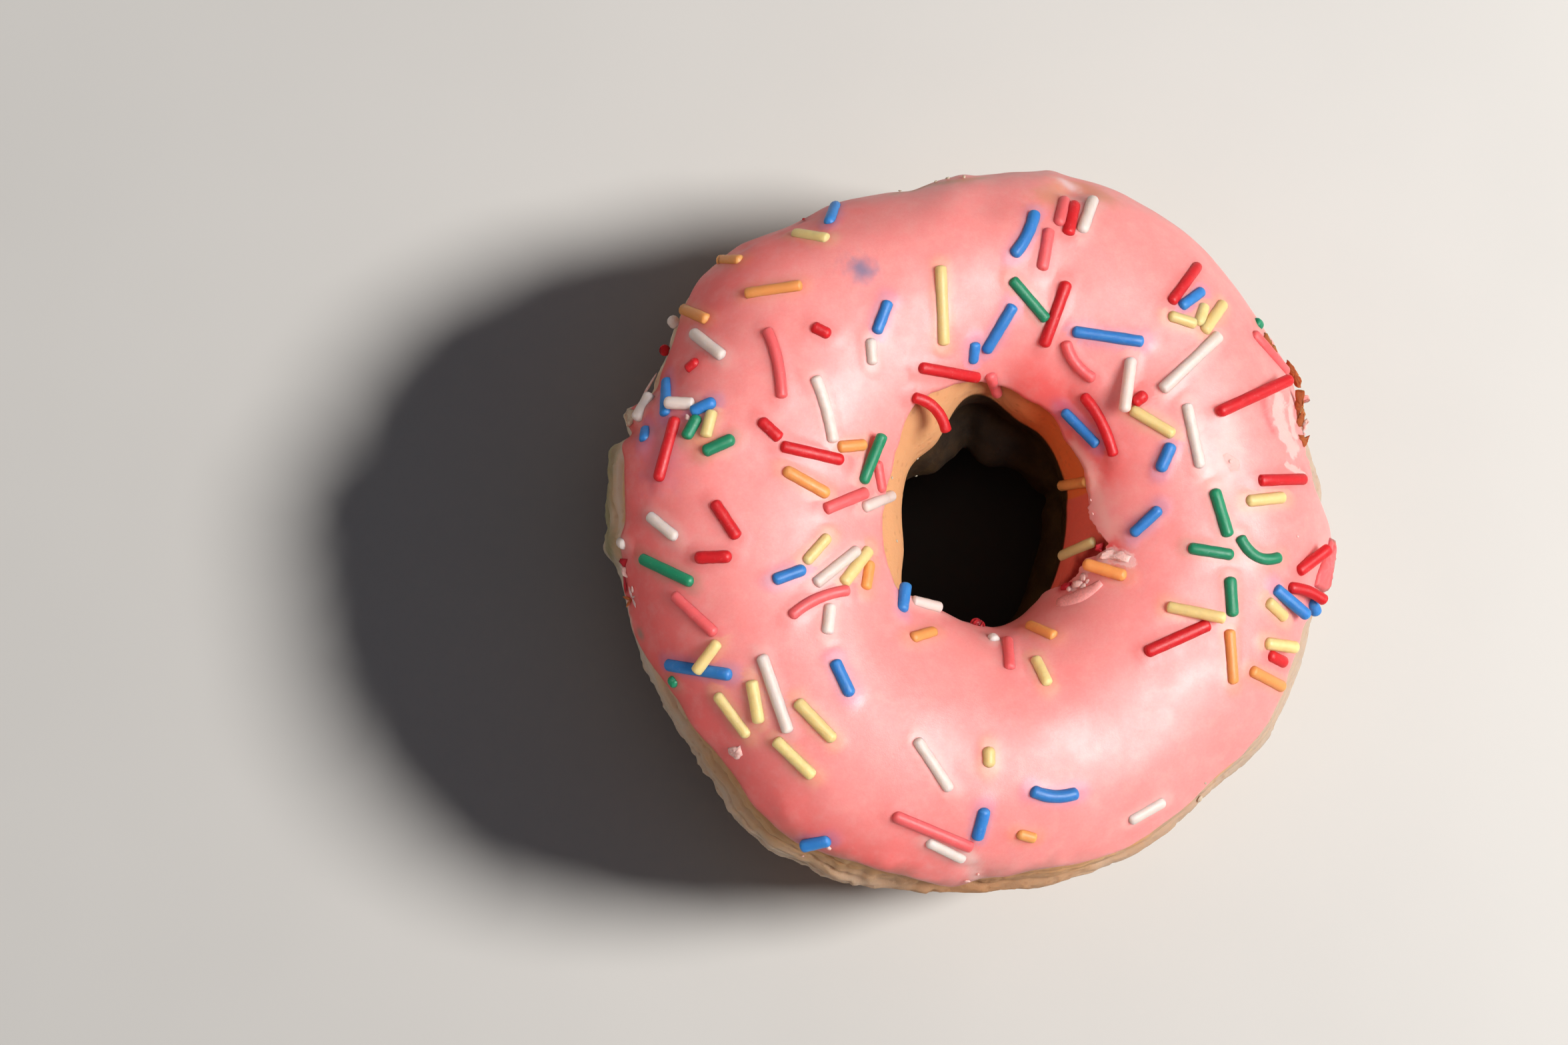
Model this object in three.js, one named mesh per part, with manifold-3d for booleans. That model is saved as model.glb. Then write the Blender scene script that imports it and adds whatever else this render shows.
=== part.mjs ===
import * as THREE from "three";
import { mergeVertices } from "three/addons/utils/BufferGeometryUtils.js";
import Module from "manifold-3d";

// A frosted ring doughnut with sprinkles, crown up, resting on its flattened base at z = 0.
// Lengths are in millimetres. A turn is an angle round the ring, from +X towards +Y.
// A roll is an angle round the ring's section: 0 at the outer waist, 90 at the crown,
// 180 at the waist in the hole and 270 at the base. Both are in degrees.

// Driving dimensions.
const outerRadius = 44.4;
const holeHalfWidth = 10.6;
const holeHalfDepth = 15.3;
const ringCentre = new THREE.Vector2(0.4, 0);
const holeCentre = new THREE.Vector2(1.55, 1.1);
const doughHeight = 31.2;
const outerWaistHeight = 14.5;
const innerWaistHeight = 18.5;
const baseFlatness = 1.12;
const sideFullness = 0.9;
const icingThickness = 1.1;
const icingLip = 0.4;
const icingGap = 0.3;
const sprinkleRadius = 0.72;
const longestSprinkle = 9.4;
const shortestSprinkle = 3.4;
const sprinkleCount = 96;
const sprinkleSeat = 0.42;
const sprinkleSpacing = 4.6;

// Unevenness. Each entry acts near one turn, fades over its spread in degrees and adds its rise.
const outerLumps = [
  { at: 62, spread: 20, rise: 2.3 },
  { at: 103, spread: 12, rise: -1.6 },
  { at: 136, spread: 9, rise: 1.6 },
  { at: 172, spread: 9, rise: 1.9 },
  { at: 205, spread: 14, rise: -0.2 },
  { at: 243, spread: 15, rise: 2.7 },
  { at: 291, spread: 18, rise: 0.8 },
  { at: 327, spread: 10, rise: 1.3 },
  { at: 353, spread: 9, rise: 1.0 },
];
const holeLumps = [
  { at: 72, spread: 14, rise: -1.3 },
  { at: 122, spread: 18, rise: -2.2 },
  { at: 226, spread: 16, rise: 2.4 },
  { at: 302, spread: 16, rise: 0.4 },
];
const crownLumps = [
  { at: 40, spread: 30, rise: 0.5 },
  { at: 150, spread: 26, rise: -0.5 },
  { at: 255, spread: 34, rise: 0.4 },
];

// The icing's two edges, as rolls measured up from each waist.
const outerEdgeRoll = 14;
const outerEdgeWaves = [
  { at: 12, spread: 9, rise: 27 },
  { at: 176, spread: 12, rise: 13 },
  { at: 226, spread: 16, rise: 12 },
  { at: 250, spread: 12, rise: 14 },
  { at: 286, spread: 18, rise: 20 },
  { at: 330, spread: 22, rise: 27 },
];
const innerEdgeRoll = 29;
const innerEdgeWaves = [
  { at: 45, spread: 22, rise: -3 },
  { at: 122, spread: 20, rise: 21 },
  { at: 160, spread: 18, rise: 8 },
  { at: 196, spread: 24, rise: 16 },
  { at: 245, spread: 14, rise: -46 },
  { at: 272, spread: 16, rise: -46 },
  { at: 298, spread: 14, rise: -35 },
  { at: 340, spread: 12, rise: 11 },
];

// Rolls and folds of the bare dough: a height, how far each fades up and down, and its rise.
const outerFolds = [
  { height: 17.2, fade: 1.5, rise: 0.7 },
  { height: 14.3, fade: 1.1, rise: -0.6 },
  { height: 11.2, fade: 2.0, rise: 0.5 },
  { height: 7.4, fade: 1.4, rise: -0.5 },
];
const holeGroove = { height: 13.6, fade: 2.2, rise: -1.0 };
const holeLobe = { height: 6.4, fade: 5.2, rise: 3.0 };
const holeLobeWaves = [
  { at: 88, spread: 42, rise: 6.0 },
  { at: 318, spread: 38, rise: 1.8 },
];
const creases = [
  { at: 22, spread: 6, rise: 1.3 },
  { at: 92, spread: 6, rise: 1.3 },
];
const creaseTop = 15;

// How finely the ring is divided.
const turnSteps = 66;
const doughSteps = 30;
const icingSteps = 13;
const icingBackSteps = 7;
const sprinkleSides = 6;
const weldDistance = 1e-4;

const wasm = await Module();
wasm.setup();

const radians = THREE.MathUtils.degToRad;

function fade(distance, spread) {
  return Math.exp(-((distance / spread) ** 2));
}

function swell(lump, turn) {
  const apart = THREE.MathUtils.euclideanModulo(turn - lump.at + 180, 360) - 180;
  return lump.rise * fade(apart, lump.spread);
}

function swells(lumps, turn) {
  return lumps.reduce((sum, lump) => sum + swell(lump, turn), 0);
}

// The spoke on which a section stands: its middle, its half length and its direction.
function spoke(turn) {
  const along = new THREE.Vector2(Math.cos(radians(turn)), Math.sin(radians(turn)));
  const ellipse = Math.hypot(along.x / holeHalfWidth, along.y / holeHalfDepth);
  const holeRadius = 1 / ellipse + swells(holeLumps, turn);
  const inner = holeCentre.clone().addScaledVector(along, holeRadius);
  const ringRadius = outerRadius + swells(outerLumps, turn);
  const outer = ringCentre.clone().addScaledVector(along, ringRadius);
  const span = outer.clone().sub(inner);
  return {
    middle: inner.clone().add(outer).multiplyScalar(0.5),
    half: span.length() / 2,
    direction: span.clone().normalize(),
  };
}

function foldDepth(fold, height) {
  return fold.rise * fade(height - fold.height, fold.fade);
}

// How far the bare dough stands out of its smooth form, into the hole or away from it.
function relief(turn, height, inHole) {
  const uneven = 1 + 0.35 * Math.sin(radians(3 * turn)) + 0.25 * Math.sin(radians(7 * turn + 40));
  if (!inHole) {
    return uneven * outerFolds.reduce((sum, fold) => sum + foldDepth(fold, height), 0);
  }
  const lobe = { ...holeLobe, rise: holeLobe.rise + swells(holeLobeWaves, turn) };
  const creaseReach = THREE.MathUtils.smoothstep(creaseTop - height, 0, 5);
  const creaseDepth = swells(creases, turn) * creaseReach;
  return foldDepth(holeGroove, height) + foldDepth(lobe, height) - creaseDepth;
}

// A point of the dough's section, as a distance along the spoke and a height.
function doughSection(turn, roll, half) {
  const across = Math.cos(radians(roll));
  const up = Math.sin(radians(roll));
  const waist = THREE.MathUtils.lerp(innerWaistHeight, outerWaistHeight, (1 + across) / 2);
  const crown = doughHeight + swells(crownLumps, turn);
  const above = waist + (crown - waist) * up;
  const below = Math.max(0, waist * (1 + baseFlatness * up));
  const height = up > 0 ? above : below;
  const smooth = Math.sign(across) * Math.abs(across) ** sideFullness * half;
  const push = relief(turn, height, across < 0) * across;
  return new THREE.Vector2(smooth + push, height);
}

// The same point moved out along the section's normal.
function raisedSection(turn, roll, half, offset) {
  const step = 0.5;
  const before = doughSection(turn, roll - step, half);
  const after = doughSection(turn, roll + step, half);
  const tangent = after.sub(before).normalize();
  const normal = new THREE.Vector2(tangent.y, -tangent.x);
  return doughSection(turn, roll, half).addScaledVector(normal, offset);
}

function stand(place, point) {
  const flat = place.middle.clone().addScaledVector(place.direction, point.x);
  return new THREE.Vector3(flat.x, flat.y, point.y);
}

// A closed ring, skinned over one loop of section points for each turn.
function ringGeometry(loopAt) {
  const positions = [];
  const indices = [];
  let loopLength = 0;
  for (let step = 0; step < turnSteps; step += 1) {
    const turn = (360 * step) / turnSteps;
    const place = spoke(turn);
    const loop = loopAt(turn, place.half);
    loopLength = loop.length;
    loop.forEach((point) => positions.push(...stand(place, point).toArray()));
  }
  for (let step = 0; step < turnSteps; step += 1) {
    const here = step * loopLength;
    const next = ((step + 1) % turnSteps) * loopLength;
    for (let side = 0; side < loopLength; side += 1) {
      const after = (side + 1) % loopLength;
      indices.push(here + side, next + side, next + after);
      indices.push(here + side, next + after, here + after);
    }
  }
  const geometry = new THREE.BufferGeometry();
  geometry.setAttribute("position", new THREE.Float32BufferAttribute(positions, 3));
  geometry.setIndex(indices);
  return geometry;
}

function doughLoop(turn, half, offset) {
  const loop = [];
  for (let step = 0; step < doughSteps; step += 1) {
    loop.push(raisedSection(turn, (360 * step) / doughSteps, half, offset));
  }
  return loop;
}

function icingReach(turn) {
  return {
    outer: outerEdgeRoll + swells(outerEdgeWaves, turn),
    inner: 180 - innerEdgeRoll - swells(innerEdgeWaves, turn),
  };
}

// The icing's section: over the crown on its outside, then back just under the dough's face.
// At both edges it thins to a lip, given as a share of its full thickness.
function icingLoop(turn, half) {
  const lipSlope = 4;
  const reach = icingReach(turn);
  const loop = [];
  for (let step = 0; step <= icingSteps; step += 1) {
    const share = step / icingSteps;
    const fromEdge = Math.min(share, 1 - share);
    const lip = Math.min(1, icingLip + lipSlope * fromEdge);
    const roll = THREE.MathUtils.lerp(reach.outer, reach.inner, share);
    loop.push(raisedSection(turn, roll, half, icingGap + icingThickness * lip));
  }
  for (let step = 0; step <= icingBackSteps; step += 1) {
    const roll = THREE.MathUtils.lerp(reach.inner, reach.outer, step / icingBackSteps);
    loop.push(raisedSection(turn, roll, half, -icingThickness));
  }
  return loop;
}

function toSolid(geometry) {
  const bare = geometry.clone();
  bare.deleteAttribute("normal");
  bare.deleteAttribute("uv");
  const merged = mergeVertices(bare, weldDistance);
  const vertProperties = merged.attributes.position.array;
  const triVerts = new Uint32Array(merged.index.array);
  return new wasm.Manifold(new wasm.Mesh({ numProp: 3, vertProperties, triVerts }));
}

function toGeometry(solid) {
  const mesh = solid.getMesh();
  const geometry = new THREE.BufferGeometry();
  geometry.setAttribute("position", new THREE.BufferAttribute(mesh.vertProperties, 3));
  geometry.setIndex(new THREE.BufferAttribute(mesh.triVerts, 1));
  return geometry;
}

function icingPoint(turn, roll) {
  const place = spoke(turn);
  return stand(place, raisedSection(turn, roll, place.half, icingGap + icingThickness));
}

// A sprinkle lying on the icing, pressed in at its middle, at a heading across the ring.
function sprinkleGeometry(turn, roll, heading, length) {
  const centre = icingPoint(turn, roll);
  const round = icingPoint(turn + 1, roll).sub(centre).normalize();
  const over = icingPoint(turn, roll + 1).sub(centre).normalize();
  const outward = round.clone().cross(over).normalize();
  const along = round.multiplyScalar(Math.cos(heading)).addScaledVector(over, Math.sin(heading));
  const upright = new THREE.Vector3(0, 1, 0);
  const straight = length - 2 * sprinkleRadius;
  const geometry = new THREE.CapsuleGeometry(sprinkleRadius, straight, 1, sprinkleSides, 1);
  geometry.applyQuaternion(new THREE.Quaternion().setFromUnitVectors(upright, along.normalize()));
  const seat = centre.addScaledVector(outward, sprinkleSeat);
  geometry.translate(seat.x, seat.y, seat.z);
  return geometry;
}

// Sprinkles spread evenly by two steps that never fall in line, the longest laid first.
// They stay off the icing's edges and each other, and few lie on one smooth stretch.
function sprinkles() {
  const turnStep = 0.7549;
  const rollStep = 0.5698;
  const edgeMargin = 0.09;
  const smoothStretch = { from: 275, to: 325 };
  const keptOnSmooth = 0.35;
  const seed = 11;
  THREE.MathUtils.seededRandom(seed);
  const centres = [];
  const laid = [];
  for (let draw = 1; laid.length < sprinkleCount; draw += 1) {
    const heading = Math.PI * THREE.MathUtils.seededRandom();
    const chance = THREE.MathUtils.seededRandom();
    const turn = 360 * ((draw * turnStep) % 1);
    const share = THREE.MathUtils.lerp(edgeMargin, 1 - edgeMargin, (draw * rollStep) % 1);
    const reach = icingReach(turn);
    const roll = THREE.MathUtils.lerp(reach.outer, reach.inner, share);
    const centre = icingPoint(turn, roll);
    const onSmooth = turn > smoothStretch.from && turn < smoothStretch.to;
    const crowded = centres.some((other) => other.distanceTo(centre) < sprinkleSpacing);
    if (crowded || (onSmooth && chance > keptOnSmooth)) {
      continue;
    }
    const size = laid.length / (sprinkleCount - 1);
    const length = THREE.MathUtils.lerp(longestSprinkle, shortestSprinkle, size);
    centres.push(centre);
    laid.push(sprinkleGeometry(turn, roll, heading, length));
  }
  return laid;
}

const doughFinish = new THREE.MeshStandardMaterial({ color: "#d9a66e", roughness: 0.8 });
const icingFinish = new THREE.MeshStandardMaterial({ color: "#f29490", roughness: 0.35 });

const doughSurface = ringGeometry((turn, half) => doughLoop(turn, half, 0));
const dough = new THREE.Mesh(doughSurface, doughFinish);
dough.name = "dough_ring";

const clearance = ringGeometry((turn, half) => doughLoop(turn, half, icingGap));
const frosting = toSolid(ringGeometry(icingLoop)).subtract(toSolid(clearance));
const decorated = wasm.Manifold.union([frosting, ...sprinkles().map(toSolid)]);
const icing = new THREE.Mesh(toGeometry(decorated), icingFinish);
icing.name = "icing";

const doughnut = new THREE.Group();
doughnut.add(dough, icing);

export default doughnut;
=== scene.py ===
import math
import random

import bmesh
import bpy
import numpy as np
from mathutils import Matrix, Vector, noise
from mathutils.bvhtree import BVHTree
from mathutils.kdtree import KDTree


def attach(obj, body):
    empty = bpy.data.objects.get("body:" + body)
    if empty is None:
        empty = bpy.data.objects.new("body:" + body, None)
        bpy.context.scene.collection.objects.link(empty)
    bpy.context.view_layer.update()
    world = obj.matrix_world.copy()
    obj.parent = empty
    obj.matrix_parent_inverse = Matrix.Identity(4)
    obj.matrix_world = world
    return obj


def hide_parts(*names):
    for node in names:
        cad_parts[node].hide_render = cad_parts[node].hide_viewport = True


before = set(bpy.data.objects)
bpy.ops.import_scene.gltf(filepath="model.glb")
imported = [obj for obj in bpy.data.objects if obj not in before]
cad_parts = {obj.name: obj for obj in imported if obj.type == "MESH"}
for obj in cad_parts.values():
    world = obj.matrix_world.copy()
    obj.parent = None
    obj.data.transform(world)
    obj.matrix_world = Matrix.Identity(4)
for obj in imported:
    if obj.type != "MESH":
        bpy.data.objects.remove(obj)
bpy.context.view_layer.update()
print("frame loaded, solids:", sorted(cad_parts))

# Lengths are in millimetres until a mesh is made, and turned to metres there.
metresPerMm = 0.001


class Wire:
    # one output socket, so that maths on masks reads as plain expressions
    def __init__(self, finish, socket):
        self.finish = finish
        self.socket = socket

    def maths(self, operation, first, second):
        return self.finish.add("ShaderNodeMath", {"operation": operation}, {0: first, 1: second})

    def __add__(self, other):
        return self.maths("ADD", self, other)

    def __radd__(self, other):
        return self.maths("ADD", other, self)

    def __sub__(self, other):
        return self.maths("SUBTRACT", self, other)

    def __rsub__(self, other):
        return self.maths("SUBTRACT", other, self)

    def __mul__(self, other):
        return self.maths("MULTIPLY", self, other)

    def __rmul__(self, other):
        return self.maths("MULTIPLY", other, self)


class Finish:
    # a material under construction
    def __init__(self, name):
        self.material = bpy.data.materials.new(name)
        self.material.use_nodes = True
        self.tree = self.material.node_tree
        self.shader = self.tree.nodes["Principled BSDF"]

    def add(self, kind, settings=None, values=None, output=0):
        node = self.tree.nodes.new(kind)
        for key, value in (settings or {}).items():
            if key == "stops":
                self.setStops(node.color_ramp, value)
            else:
                setattr(node, key, value)
        for key, value in (values or {}).items():
            self.feed(node.inputs[key], value)
        return Wire(self, node.outputs[output])

    def setStops(self, ramp, stops):
        while len(ramp.elements) < len(stops):
            ramp.elements.new(0.5)
        for element, (place, colour) in zip(ramp.elements, stops):
            element.position = place
            element.color = (*colour, 1)

    def feed(self, socket, value):
        if isinstance(value, Wire):
            self.tree.links.new(value.socket, socket)
        elif isinstance(value, tuple) and len(value) == 3 and socket.type == "RGBA":
            socket.default_value = (*value, 1)
        else:
            socket.default_value = value

    def place(self):
        return self.add("ShaderNodeTexCoord", output="Object")

    def mask(self, name):
        return self.add("ShaderNodeAttribute", {"attribute_name": name}, output="Fac")

    def stained(self, colour):
        # lays the piece's painted marks over a colour
        stain, strength = [self.add("ShaderNodeAttribute", {"attribute_name": "stain"}, output=part)
                           for part in ("Color", "Alpha")]
        return self.blend(strength, colour, stain)

    def grain(self, size, detail=3, roughness=0.55, stretch=(1, 1, 1)):
        # noise whose lumps are about size mm across
        scale = 1 / (size * metresPerMm)
        spread = self.add("ShaderNodeVectorMath", {"operation": "MULTIPLY"},
                          {0: self.place(), 1: stretch})
        values = {"Vector": spread, "Scale": scale, "Detail": detail, "Roughness": roughness}
        return self.add("ShaderNodeTexNoise", values=values)

    def spots(self, size):
        scale = 1 / (size * metresPerMm)
        return self.add("ShaderNodeTexVoronoi", values={"Vector": self.place(), "Scale": scale})

    def ramp(self, value, low, high, start=0.0, end=1.0):
        values = {"Value": value, "From Min": low, "From Max": high, "To Min": start, "To Max": end}
        return self.add("ShaderNodeMapRange", {"interpolation_type": "SMOOTHSTEP"}, values)

    def blend(self, share, first, second):
        values = {"Factor": share, "A": first, "B": second}
        return self.add("ShaderNodeMix", {"data_type": "RGBA"}, values, output="Result")

    def bump(self, height, strength, distance):
        values = {"Height": height, "Strength": strength, "Distance": distance * metresPerMm}
        return self.add("ShaderNodeBump", values=values)

    def surface(self, values):
        for key, value in values.items():
            self.feed(self.shader.inputs[key], value)
        return self.material


def addField(piece, name, kind, key, values):
    # a value or a colour at each point of a piece
    layer = piece.data.attributes.new(name, kind, "POINT")
    layer.data.foreach_set(key, np.asarray(values, dtype=np.float32).ravel())


def makeMesh(name, points, faces, finish, masks=None):
    mesh = bpy.data.meshes.new(name)
    mesh.from_pydata((np.asarray(points) * metresPerMm).tolist(), [], faces)
    mesh.shade_smooth()
    mesh.materials.append(finish)
    piece = bpy.data.objects.new(name, mesh)
    for key, values in (masks or {}).items():
        addField(piece, key, "FLOAT", "value", values)
    bpy.context.scene.collection.objects.link(piece)
    return piece


def gridFaces(rows, columns):
    # quads of a grid that closes on itself both ways
    row, column = np.meshgrid(np.arange(rows), np.arange(columns), indexing="ij")
    nextRow, nextColumn = (row + 1) % rows, (column + 1) % columns
    corners = [(row, column), (nextRow, column), (nextRow, nextColumn), (row, nextColumn)]
    return np.stack([y * columns + x for y, x in corners], axis=-1).reshape(-1, 4).tolist()


def unit(vectors):
    return vectors / np.maximum(np.linalg.norm(vectors, axis=-1, keepdims=True), 1e-9)


def gridNormals(points):
    # outward direction at each point of a grid that closes both ways
    along = np.roll(points, -1, axis=0) - np.roll(points, 1, axis=0)
    across = np.roll(points, -1, axis=1) - np.roll(points, 1, axis=1)
    return unit(np.cross(along, across))


def roughness(points, size, octaves=3, squash=(1, 1, 1)):
    # a field of noise with lumps about size mm across, from about -1 to 1
    flat = (np.asarray(points).reshape(-1, 3) * np.array(squash) / size).tolist()
    field = [noise.fractal(Vector(place), 1.0, 2.0, octaves) for place in flat]
    return np.array(field).reshape(np.asarray(points).shape[:-1])


def fade(distance, spread):
    return np.exp(-((distance / spread) ** 2))


def easing(value, low, high):
    share = np.clip((value - low) / (high - low), 0, 1)
    return share * share * (3 - 2 * share)


def swells(lumps, turn):
    # each lump is a turn in degrees, the spread over which it fades, and its rise
    total = np.zeros_like(turn, dtype=float)
    for at, spread, rise in lumps:
        apart = (turn - at + 180) % 360 - 180
        total = total + rise * fade(apart, spread)
    return total


# A turn goes round the ring from +X towards +Y. A roll goes round its section: 0 at the outer
# waist, 90 at the crown, 180 at the waist in the hole, 270 at the base.

ringForm = {
    "outerRadius": 44.4,
    "holeHalfWidth": 10.6,
    "holeHalfDepth": 15.3,
    "ringCentre": (0.4, 0.0),
    "holeCentre": (1.55, 1.1),
    "height": 31.2,
    "outerWaist": 14.5,
    "innerWaist": 18.5,
    "baseFlatness": 1.12,
    "sideFullness": 0.9,
    "outerLumps": [(62, 20, 2.3), (103, 12, -1.6), (136, 9, 1.6), (172, 9, 1.9), (205, 14, -0.2),
                   (243, 15, 2.7), (291, 18, 0.8), (327, 10, 1.3), (353, 9, 1.0)],
    "holeLumps": [(72, 14, -1.3), (122, 18, -2.2), (226, 16, 2.4), (302, 16, 0.4)],
    "crownLumps": [(40, 30, 0.5), (150, 26, -0.5), (255, 34, 0.4)],
    "rimLumps": [(8, 4, 0.6), (61, 6, -0.6), (78, 3, 0.5), (89, 3, -0.4), (121, 5, -0.8), (135, 3, -0.8),
                 (126, 4, -0.4), (154, 7, -1.2), (158.6, 2.6, -1.1),
                 (162.4, 1.0, 0.4), (166.2, 1.9, -2.0), (173, 3, -0.7), (183.4, 2.4, 1.3), (192, 3, -0.2),
                 (222, 4, -0.4), (244, 3, -0.5), (232, 8, 0.8), (312, 6, -0.6),
                 (338, 5, 0.6)],
    "rimReach": (14, 13),
    # height, how far it fades up and down, rise
    "outerFolds": [(17.2, 1.5, 0.7), (14.3, 1.1, -0.6), (11.2, 2.0, 0.5), (7.4, 1.4, -0.5)],
    "holeGroove": (13.6, 2.2, -1.0),
    "holeLobe": (6.4, 5.2, 3.0),
    "lobeWaves": [(88, 42, 6.0), (318, 38, 1.8)],
    "creases": [(22, 6, 1.3), (92, 6, 1.3)],
    "creaseTop": 15,
    # the outer folds swell and fade round the ring: waves, shift in degrees, depth
    "foldWaves": [(3, 0, 0.35), (7, 40, 0.25)],
}


def spokes(turn):
    # where each section stands: its middle, half its length and its direction
    angle = np.radians(turn)
    along = np.stack([np.cos(angle), np.sin(angle)], axis=-1)
    ellipse = np.hypot(along[..., 0] / ringForm["holeHalfWidth"], along[..., 1] / ringForm["holeHalfDepth"])
    holeRadius = 1 / ellipse + swells(ringForm["holeLumps"], turn)
    ringRadius = ringForm["outerRadius"] + swells(ringForm["outerLumps"], turn)
    inner = np.array(ringForm["holeCentre"]) + along * holeRadius[..., None]
    outer = np.array(ringForm["ringCentre"]) + along * ringRadius[..., None]
    span = outer - inner
    length = np.linalg.norm(span, axis=-1)
    return (inner + outer) / 2, length / 2, span / length[..., None]


def foldDepth(fold, height):
    at, spread, rise = fold
    return rise * fade(height - at, spread)


def relief(turn, height, inHole):
    uneven = 1 + sum(depth * np.sin(np.radians(waves * turn + shift))
                     for waves, shift, depth in ringForm["foldWaves"])
    outside = uneven * sum(foldDepth(fold, height) for fold in ringForm["outerFolds"])
    at, spread = ringForm["rimReach"]
    outside = outside + swells(ringForm["rimLumps"], turn) * fade(height - at, spread)
    at, spread, rise = ringForm["holeLobe"]
    lobe = (rise + swells(ringForm["lobeWaves"], turn)) * fade(height - at, spread)
    creaseDepth = swells(ringForm["creases"], turn) * easing(ringForm["creaseTop"] - height, 0, 5)
    inside = foldDepth(ringForm["holeGroove"], height) + lobe - creaseDepth
    return np.where(inHole, inside, outside)


def section(turn, roll, half):
    # a point of the dough's section, as a distance along the spoke and a height
    across = np.cos(np.radians(roll))
    up = np.sin(np.radians(roll))
    low, high = ringForm["outerWaist"], ringForm["innerWaist"]
    waist = high + (low - high) * (1 + across) / 2
    crown = ringForm["height"] + swells(ringForm["crownLumps"], turn)
    above = waist + (crown - waist) * up
    below = np.maximum(0, waist * (1 + ringForm["baseFlatness"] * up))
    height = np.where(up > 0, above, below)
    smooth = np.sign(across) * np.abs(across) ** ringForm["sideFullness"] * half
    push = relief(turn, height, across < 0) * across
    return np.stack([smooth + push, height], axis=-1)


def ringPoints(turn, roll, offset=0.0):
    # points on the dough's form, moved out along the section's normal; turn and roll are grids
    middle, half, direction = spokes(turn)
    step = 0.5     # degrees of roll to either side, for the direction of the section
    tangent = unit(section(turn, roll + step, half) - section(turn, roll - step, half))
    normal = np.stack([tangent[..., 1], -tangent[..., 0]], axis=-1)
    place = section(turn, roll, half) + normal * np.asarray(offset)[..., None]
    flat = middle + direction * place[..., :1]
    return np.concatenate([flat, place[..., 1:]], axis=-1)


cameraView = {
    "imageWidth": 2352,
    "imageHeight": 1568,
    "lens": 70.0,
    "sensor": 36.0,
    "tilt": 11.0,         # degrees off straight down
    "towards": 225.0,     # the turn it leans out to
    "distance": 383.0,
    "aim": (-23.3, 0.5, 15.0),
}


def placeCamera():
    tilt = math.radians(cameraView["tilt"])
    lean = math.radians(cameraView["towards"])
    back = Vector((math.sin(tilt) * math.cos(lean), math.sin(tilt) * math.sin(lean), math.cos(tilt)))
    right = Vector((0, 1, 0)).cross(back).normalized()
    upward = back.cross(right)
    aim = Vector(cameraView["aim"]) * metresPerMm
    eye = aim + back * cameraView["distance"] * metresPerMm
    turned = Matrix((right, upward, back)).transposed().to_4x4()
    data = bpy.data.cameras.new("mainCamera")
    data.lens = cameraView["lens"]
    data.sensor_width = cameraView["sensor"]
    data.clip_start = 0.01
    camera = bpy.data.objects.new("mainCamera", data)
    camera.matrix_world = Matrix.Translation(eye) @ turned
    bpy.context.scene.collection.objects.link(camera)
    bpy.context.scene.camera = camera
    return eye / metresPerMm, right, upward, back


eye, viewRight, viewUp, viewBack = placeCamera()
eyePoint, backward = np.array(eye), np.array(viewBack)


def sightLine(x, y):
    # direction from the camera through a place of the image
    across = (x / cameraView["imageWidth"] - 0.5) * cameraView["sensor"] / cameraView["lens"]
    down = (y - cameraView["imageHeight"] / 2) / cameraView["imageWidth"]
    down = down * cameraView["sensor"] / cameraView["lens"]
    return (viewRight * across - viewUp * down - viewBack).normalized()


print("camera placed")


# The ring's plain form as a tree of faces, for whatever is placed as it is seen.
lookup = {
    "turns": 540,
    "rolls": 300,
    "centre": (1452, 793),     # the ring's centre in the image
    "ringMiddle": 365,         # from there to the middle of the ring
    "nudges": 60,
}


def ringGrid(turns, rolls):
    return np.meshgrid(np.arange(turns) * 360 / turns, rolls, indexing="ij")


def formTree(offset):
    turn, roll = ringGrid(lookup["turns"], np.arange(lookup["rolls"]) * 360 / lookup["rolls"])
    points = ringPoints(turn, roll, offset)
    return BVHTree.FromPolygons(points.reshape(-1, 3).tolist(), gridFaces(*turn.shape))


def firstHit(tree, x, y):
    # where a sight line meets the tree, and which way it faces there
    # one that just misses moves towards the middle of the ring until it meets it
    centreX, centreY = lookup["centre"]
    for _ in range(lookup["nudges"]):
        point, normal, face, _ = tree.ray_cast(eye, sightLine(x, y))
        if point is not None:
            return np.array(point), np.array(normal), face
        fromCentre = math.hypot(x - centreX, y - centreY)
        step = 1 if fromCentre < lookup["ringMiddle"] else -1
        x += step * (x - centreX) / fromCentre
        y += step * (y - centreY) / fromCentre
    raise ValueError("nothing of the ring is seen near " + str((x, y)))


def turnAndRoll(tree, x, y):
    face = firstHit(tree, x, y)[2]
    turnStep, rollStep = divmod(face, lookup["rolls"])
    roll = (rollStep + 0.5) * 360 / lookup["rolls"]
    return (turnStep + 0.5) * 360 / lookup["turns"], roll if roll < 270 else roll - 360


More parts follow.
